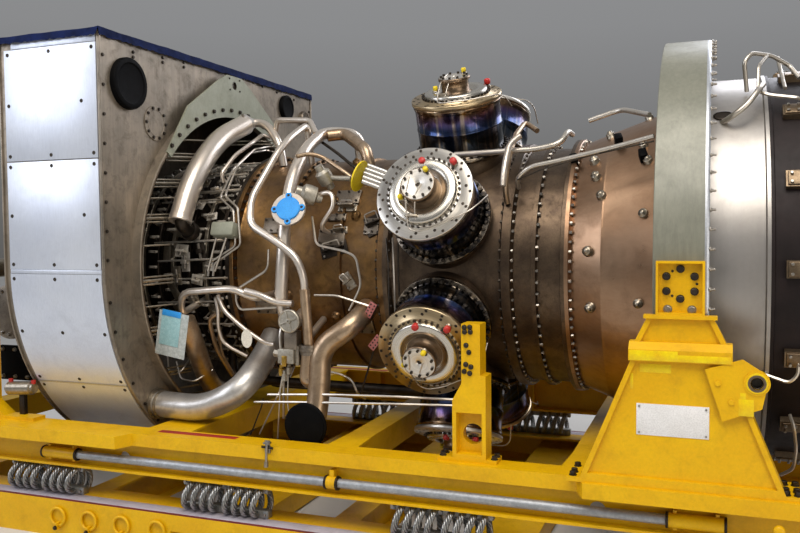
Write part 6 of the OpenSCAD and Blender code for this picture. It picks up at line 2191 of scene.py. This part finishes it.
                (160, -740, 1735), (172, -760, 1560), (172, -740, 1300))),
            Route("harness_v3", 10, BOLT_DARK, 10, (
                (195, -745, 1705), (200, -760, 1500), (200, -730, 1300))),
        )
        mount(join("extra_pipes", [route.lay() for route in routes]), slot="duct_steel")

    def clamps(self) -> None:
        """Sets band clamps where pipes meet the plenum and each other."""
        bands = [collar("clamp", facing(at, way), *sizes, finish) for at, way, sizes, finish in (
            ((-1.350, -0.867, 0.724), (1, -0.1, 0), (0.080, 0.028, 0.014), FITTING_STEEL),
            ((-1.310, -0.871, 0.724), (1, -0.1, 0), (0.080, 0.016, 0.010), FITTING_STEEL),
            ((-0.290, -0.900, 1.108), (0, 0, 1), (0.042, 0.056, 0.014), CASE_STEEL),
            ((-0.231, -0.900, 0.900), (0, 0.02, 1), (0.057, 0.018, 0.006), CASE_STEEL))]
        mount(join("band_clamps", bands), slot="duct_steel")
        self.capped_flange()

    def capped_flange(self) -> None:
        """Builds the flange on the manifold with its blue cap and four screwed lobes."""
        at = facing((-0.408, -0.900, 1.903), outward(23) + Vector((0.15, 0, 0)))
        flange = lathe("cap_flange", [
            (0.0, -0.018), (0.098, -0.018), (0.100, -0.016), (0.100, 0.0), (0.098, 0.002), (0.0, 0.002)],
            TUBE_BRIGHT, 48)
        cap = lathe("blue_cap_disc", [(0.070, 0.002), (0.070, 0.010), (0.066, 0.013), (0.0, 0.014)],
            BLUE_CAP, 40)
        lobes = []
        for k in range(4):
            turn = math.radians(4 + 90 * k)
            place = Matrix.Translation((0.080 * math.cos(turn), 0.080 * math.sin(turn), 0))
            for lobe in (lathe(f"lobe_{k}", [(0.0190, 0.002), (0.0190, 0.010), (0.0170, 0.012),
                                             (0.009, 0.012), (0.0085, 0.004)], BLUE_CAP, 20),
                         lathe(f"screw_{k}", [(0.0085, 0.003), (0.0085, 0.007), (0.0, 0.007)],
                               BOLT_DARK, 12)):
                lobes.append(moved(lobe, place))
        whole = join("capped_flange", [flange, cap, *lobes])
        mount(moved(whole, at), slot="duct_steel")

    def valves(self) -> None:
        """Builds the valve bodies, the spoked cover, the manifold block and the ribbed bundle."""
        parts = []
        for k, (place, way, r) in enumerate((
                ((-0.275, -0.700, 2.090), (-0.3, -0.5, 0.8), 0.045),
                ((-0.330, -0.800, 1.985), (-0.8, -0.5, 0.3), 0.055))):
            body = lathe(f"valve_{k}", [
                (0.0, -0.08), (r * 0.5, -0.08), (r * 0.55, -0.05), (r, -0.04), (r * 1.05, 0.0), (r, 0.03),
                (r * 0.6, 0.045), (r * 0.55, 0.075), (0.0, 0.075)], VALVE_CAST, 24)
            parts.append(moved(body, facing(place, way)))
        elbow = Route("valve_elbow", 30, VALVE_CAST, 40,
            ((-275, -700, 2090), (-215, -700, 2080), (-110, -700, 2075)))
        parts.append(elbow.lay())
        link = Route("valve_line", 26, TUBE_BRIGHT, 50, ((-300, -780, 1980), (-190, -790, 2000),
            (-165, -810, 1920), (-260, -800, 1800), (-255, -690, 1760)))
        parts.append(link.lay())
        mount(join("valve_bodies", parts), slot="duct_steel")
        dial = lathe("spoked_cover", [
            (0.060, -0.03), (0.066, -0.02), (0.066, 0.0), (0.060, 0.004), (0.056, 0.0), (0.016, 0.0),
            (0.014, 0.008), (0.006, 0.009), (0.005, 0.003), (0.0, 0.003)], VALVE_CAST, 40)
        spokes = [dial]
        for k in range(4):
            arm = block(f"spoke_{k}", (0.012, -0.004, -0.002), (0.060, 0.004, 0.005), VALVE_CAST, 0.001)
            spokes.append(moved(arm, Matrix.Rotation(math.radians(20 + 90 * k), 4, "Z")))
        whole = join("spoked_cover", spokes)
        mount(moved(whole, facing((-0.386, -0.960, 1.272), (0, -1, 0.05))), slot="duct_steel")
        blocks = [block("block_a", (-0.425, -0.945, 1.108), (-0.345, -0.880, 1.215), CASE_STEEL, 0.004),
                  block("block_b", (-0.462, -0.955, 1.030), (-0.362, -0.890, 1.112), VALVE_CAST, 0.004),
                  block("block_c", (-0.432, -0.965, 1.015), (-0.404, -0.940, 1.075), BRASS, 0.003),
                  block("block_d", (-0.358, -0.940, 1.020), (-0.336, -0.900, 1.130), FITTING_STEEL, 0.003),
                  tube("side_nut", [(-0.500, -0.920, 1.085), (-0.455, -0.920, 1.075)], 0.044, VALVE_CAST,
                       0.0, 8)]
        for k, (dx, dz) in enumerate(((-0.02, 0.0), (0.03, 0.01), (0.0, -0.03))):
            nut = lathe(f"nut_{k}", [
                (0.0, -0.03), (0.016, -0.03), (0.018, -0.01), (0.018, 0.01), (0.012, 0.014), (0.012, 0.03),
                (0.0, 0.03)], (BRASS, FITTING_STEEL, VALVE_CAST)[k], 6, 360, 20)
            blocks.append(moved(nut, Matrix.Translation((-0.440 + dx, -0.915, 0.985 + dz))))
        mount(join("manifold_block", blocks), slot="duct_steel")
        disc = lathe("yellow_blank", [
            (0.0, -0.005), (0.088, -0.005), (0.090, -0.003), (0.090, 0.003), (0.088, 0.005), (0.0, 0.005)],
            YELLOW_CAP, 40)
        mount(moved(disc, facing((-0.015, -0.790, 2.081), (0.94, -0.02, -0.34))), slot="duct_steel")
        bundle = [
            Route(f"bundle_{k}", 26, TUBE_SILVER, 40, ((0, -790 + 14 * k, 2052 + 24 * k),
            (110, -770 + 14 * k, 2010 + 24 * k), (215, -735 + 14 * k, 1955 + 24 * k))).lay()
            for k in range(5)]
        mount(join("tube_bundle", bundle), slot="duct_steel")

    def tags(self) -> None:
        """Hangs the bare tags in their clear bag and the perforated plates."""
        card = [block("card", (-0.030, -0.0010, -0.19), (0.105, 0.0, 0.02), BLUE_CARD, 0.0004),
                block("card_strip", (-0.028, -0.0030, -0.015), (0.103, -0.0010, 0.020), BLUE_CAP, 0.0004),
                block("clear_bag", (-0.052, 0.002, -0.255), (0.155, 0.006, 0.012), CLEAR_BAG, 0.0015)]
        hung = join("bare_tags", card)
        mount(moved(hung, Matrix.Translation((-1.185, -0.985, 1.300)) @ Matrix.Rotation(0.16, 4, "Y")),
              slot="duct_steel")
        small = lathe("small_tag", [(0.0, 0.0), (0.036, 0.0), (0.036, 0.0012), (0.0, 0.0012)], BUFF_CARD, 24)
        mount(moved(small,
                facing((-0.675, -0.930, 1.160), (0, -1, 0), 0) @ Matrix.Scale(1.5, 4, (0, 1, 0))),
              slot="duct_steel")
        plates = []
        # painted shade: flat dark discs stand in for the perforations in the pink plates
        hole = lathe("perforation", [(0.0055, 0.0), (0.0045, 0.0004), (0.0, 0.0004)], BOLT_DARK, 10)
        spots = []
        for k, (place, tilt) in enumerate((((0.035, -0.775, 1.330), 0.5), ((0.060, -0.770, 1.145), 0.7))):
            turn = Matrix.Translation(place) @ Matrix.Rotation(tilt, 4, "Y")
            plate = block(f"perforated_{k}", (-0.022, -0.001, -0.045), (0.022, 0.0, 0.045), PINK_PLATE,
                          0.0004)
            plates.append(moved(plate, turn))
            spots += [turn @ facing((u, -0.0012, v), (0, -1, 0)) for u in (-0.011, 0.011)
                      for v in (-0.030, -0.010, 0.010, 0.030)]
        mount(join("perforated_plates", [*plates, repeat("perforations", hole, spots)]), slot="duct_steel")

    def green_box(self) -> None:
        """Builds the curved grey-green box over the compressor with its two lines."""
        box = block("curved_box", (-0.080, -0.045, -0.05), (0.080, 0.045, 0.05), PLATE_PRIMER, 0.018)
        box.data.transform(facing((-0.905, -0.770, 1.785), outward(17)))
        lines = [Route("box_line_a", 12, LINE_STEEL, 10, ((-940, -820, 1740), (-1010, -810, 1540))).lay(),
                 Route("box_line_b", 12, LINE_STEEL, 10, ((-870, -820, 1740), (-960, -810, 1540))).lay()]
        mount(join("curved_box", [box, *lines]), slot="duct_steel")

    def build(self) -> None:
        """Builds all of the pipework."""
        self.bleed_pipe()
        self.ducts()
        self.lines()
        self.clamps()
        self.valves()
        self.tags()
        self.green_box()


PARTS = (StandFrame, RopeIsolators, Plenum, Compressor, MiddleCase, Combustors, Turbine, MountRing, Exhaust,
         Pipework)


@dataclass
class Studio:
    """Floor, light and the photograph's viewpoint.

    Attributes:
        place: Where the camera stands.
        lens: Focal length in millimetres on a 36 mm sensor.
        axes: The camera's right, down and forward directions.
        lamps: Name, place, aim, size, power and colour of each light.
        floor_size: Side of the square floor in metres.
        glow: Strength of the sky.
        horizon: Heights over which the sky goes from dark to pale.
    """

    place: Point = (1.841, -5.067, 1.789)
    lens: float = 37.3
    axes: tuple[Point, Point, Point] = ((0.9353, 0.3537, -0.0092), (0.0078, -0.0466, -0.9989),
                                        (-0.3537, 0.9342, -0.04638))
    lamps: tuple[tuple[str, Point, Point, float, float, str], ...] = (
        ("hall_light", (1.5, -4.5, 7.5), (0.3, 0.0, 1.3), 5.0, 490, "#FFF8EF"),
        ("side_light", (-5.5, -5.0, 4.5), (-0.8, 0.0, 1.4), 4.0, 190, "#EEF3FF"),
        ("rear_light", (4.0, 5.5, 6.5), (0.5, 0.0, 1.6), 5.0, 340, "#F4F6FF"),
        ("low_fill", (5.5, -4.5, 1.8), (1.5, 0.0, 1.2), 3.0, 62, "#FFF6EA"))
    floor_size: float = 60.0
    glow: float = 0.46
    horizon: tuple[float, float] = (-0.6, 0.9)

    def lamp(self, name: str, place: Point, aim: Point, size: float, power: float, colour: str) -> None:
        """Hangs a soft area light.

        Args:
            name: Name of the light.
            place: Where it hangs.
            aim: Point that it shines at.
            size: Side of the square light in metres.
            power: Power in watts.
            colour: Its colour.
        """
        deselect()
        bpy.ops.object.light_add(type="AREA", location=place)
        light = bpy.context.active_object
        light.name = name
        light.rotation_euler = (Vector(aim) - Vector(place)).to_track_quat("-Z", "Y").to_euler()
        light.data.size = size
        light.data.energy = power
        light.data.color = linear(colour)[:3]

    def build(self) -> None:
        """Builds the studio round the finished object."""
        right, down, forward = (Vector(a) for a in self.axes)
        deselect()
        bpy.ops.object.camera_add(location=self.place)
        camera = bpy.context.active_object
        turn = Matrix((right, -down, -forward)).transposed()
        camera.rotation_euler = turn.to_euler()
        camera.data.lens = self.lens
        camera.data.sensor_width = 36.0
        camera.data.clip_end = 200.0
        bpy.context.scene.camera = camera
        bpy.ops.mesh.primitive_plane_add(size=self.floor_size, location=(0, 0, 0))
        floor = settle(bpy.context.active_object, "floor", STUDIO_FLOOR, None)
        scene = bpy.context.scene
        scene.view_settings.view_transform = "Standard"
        scene.render.film_transparent = False
        world = bpy.data.worlds.new("soft_studio")
        scene.world = world
        world.use_nodes = True
        tree = world.node_tree
        tree.nodes.clear()
        place = add_node(tree, "ShaderNodeTexCoord").outputs["Generated"]
        split = add_node(tree, "ShaderNodeSeparateXYZ", {"Vector": place})
        low, high = self.horizon
        height = add_node(tree, "ShaderNodeMapRange",
                          {"Value": split.outputs["Z"], "From Min": low, "From Max": high})
        sky = add_node(tree, "ShaderNodeValToRGB", {"Fac": height.outputs["Result"]},
                       stops=((0.0, "#4A4743"), (0.36, "#7C7A76"), (0.55, "#C4C5C7"), (1.0, "#EEEFF1")))
        glow = add_node(tree, "ShaderNodeBackground", {"Color": sky.outputs["Color"], "Strength": self.glow})
        add_node(tree, "ShaderNodeOutputWorld", {"Surface": glow.outputs["Background"]})
        for lamp in self.lamps:
            self.lamp(*lamp)


def write_sizes() -> None:
    """Updates the view layer so that every object's place is current.
    """
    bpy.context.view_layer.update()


def main() -> None:
    """Builds every sub-assembly in order and reports each one."""
    logging.basicConfig(level=logging.INFO, format="%(message)s")
    for part in PARTS:
        LOG.info("building %s", part.__name__)
        part().build()
    Studio().build()
    write_sizes()


if __name__ == "__main__":
    main()
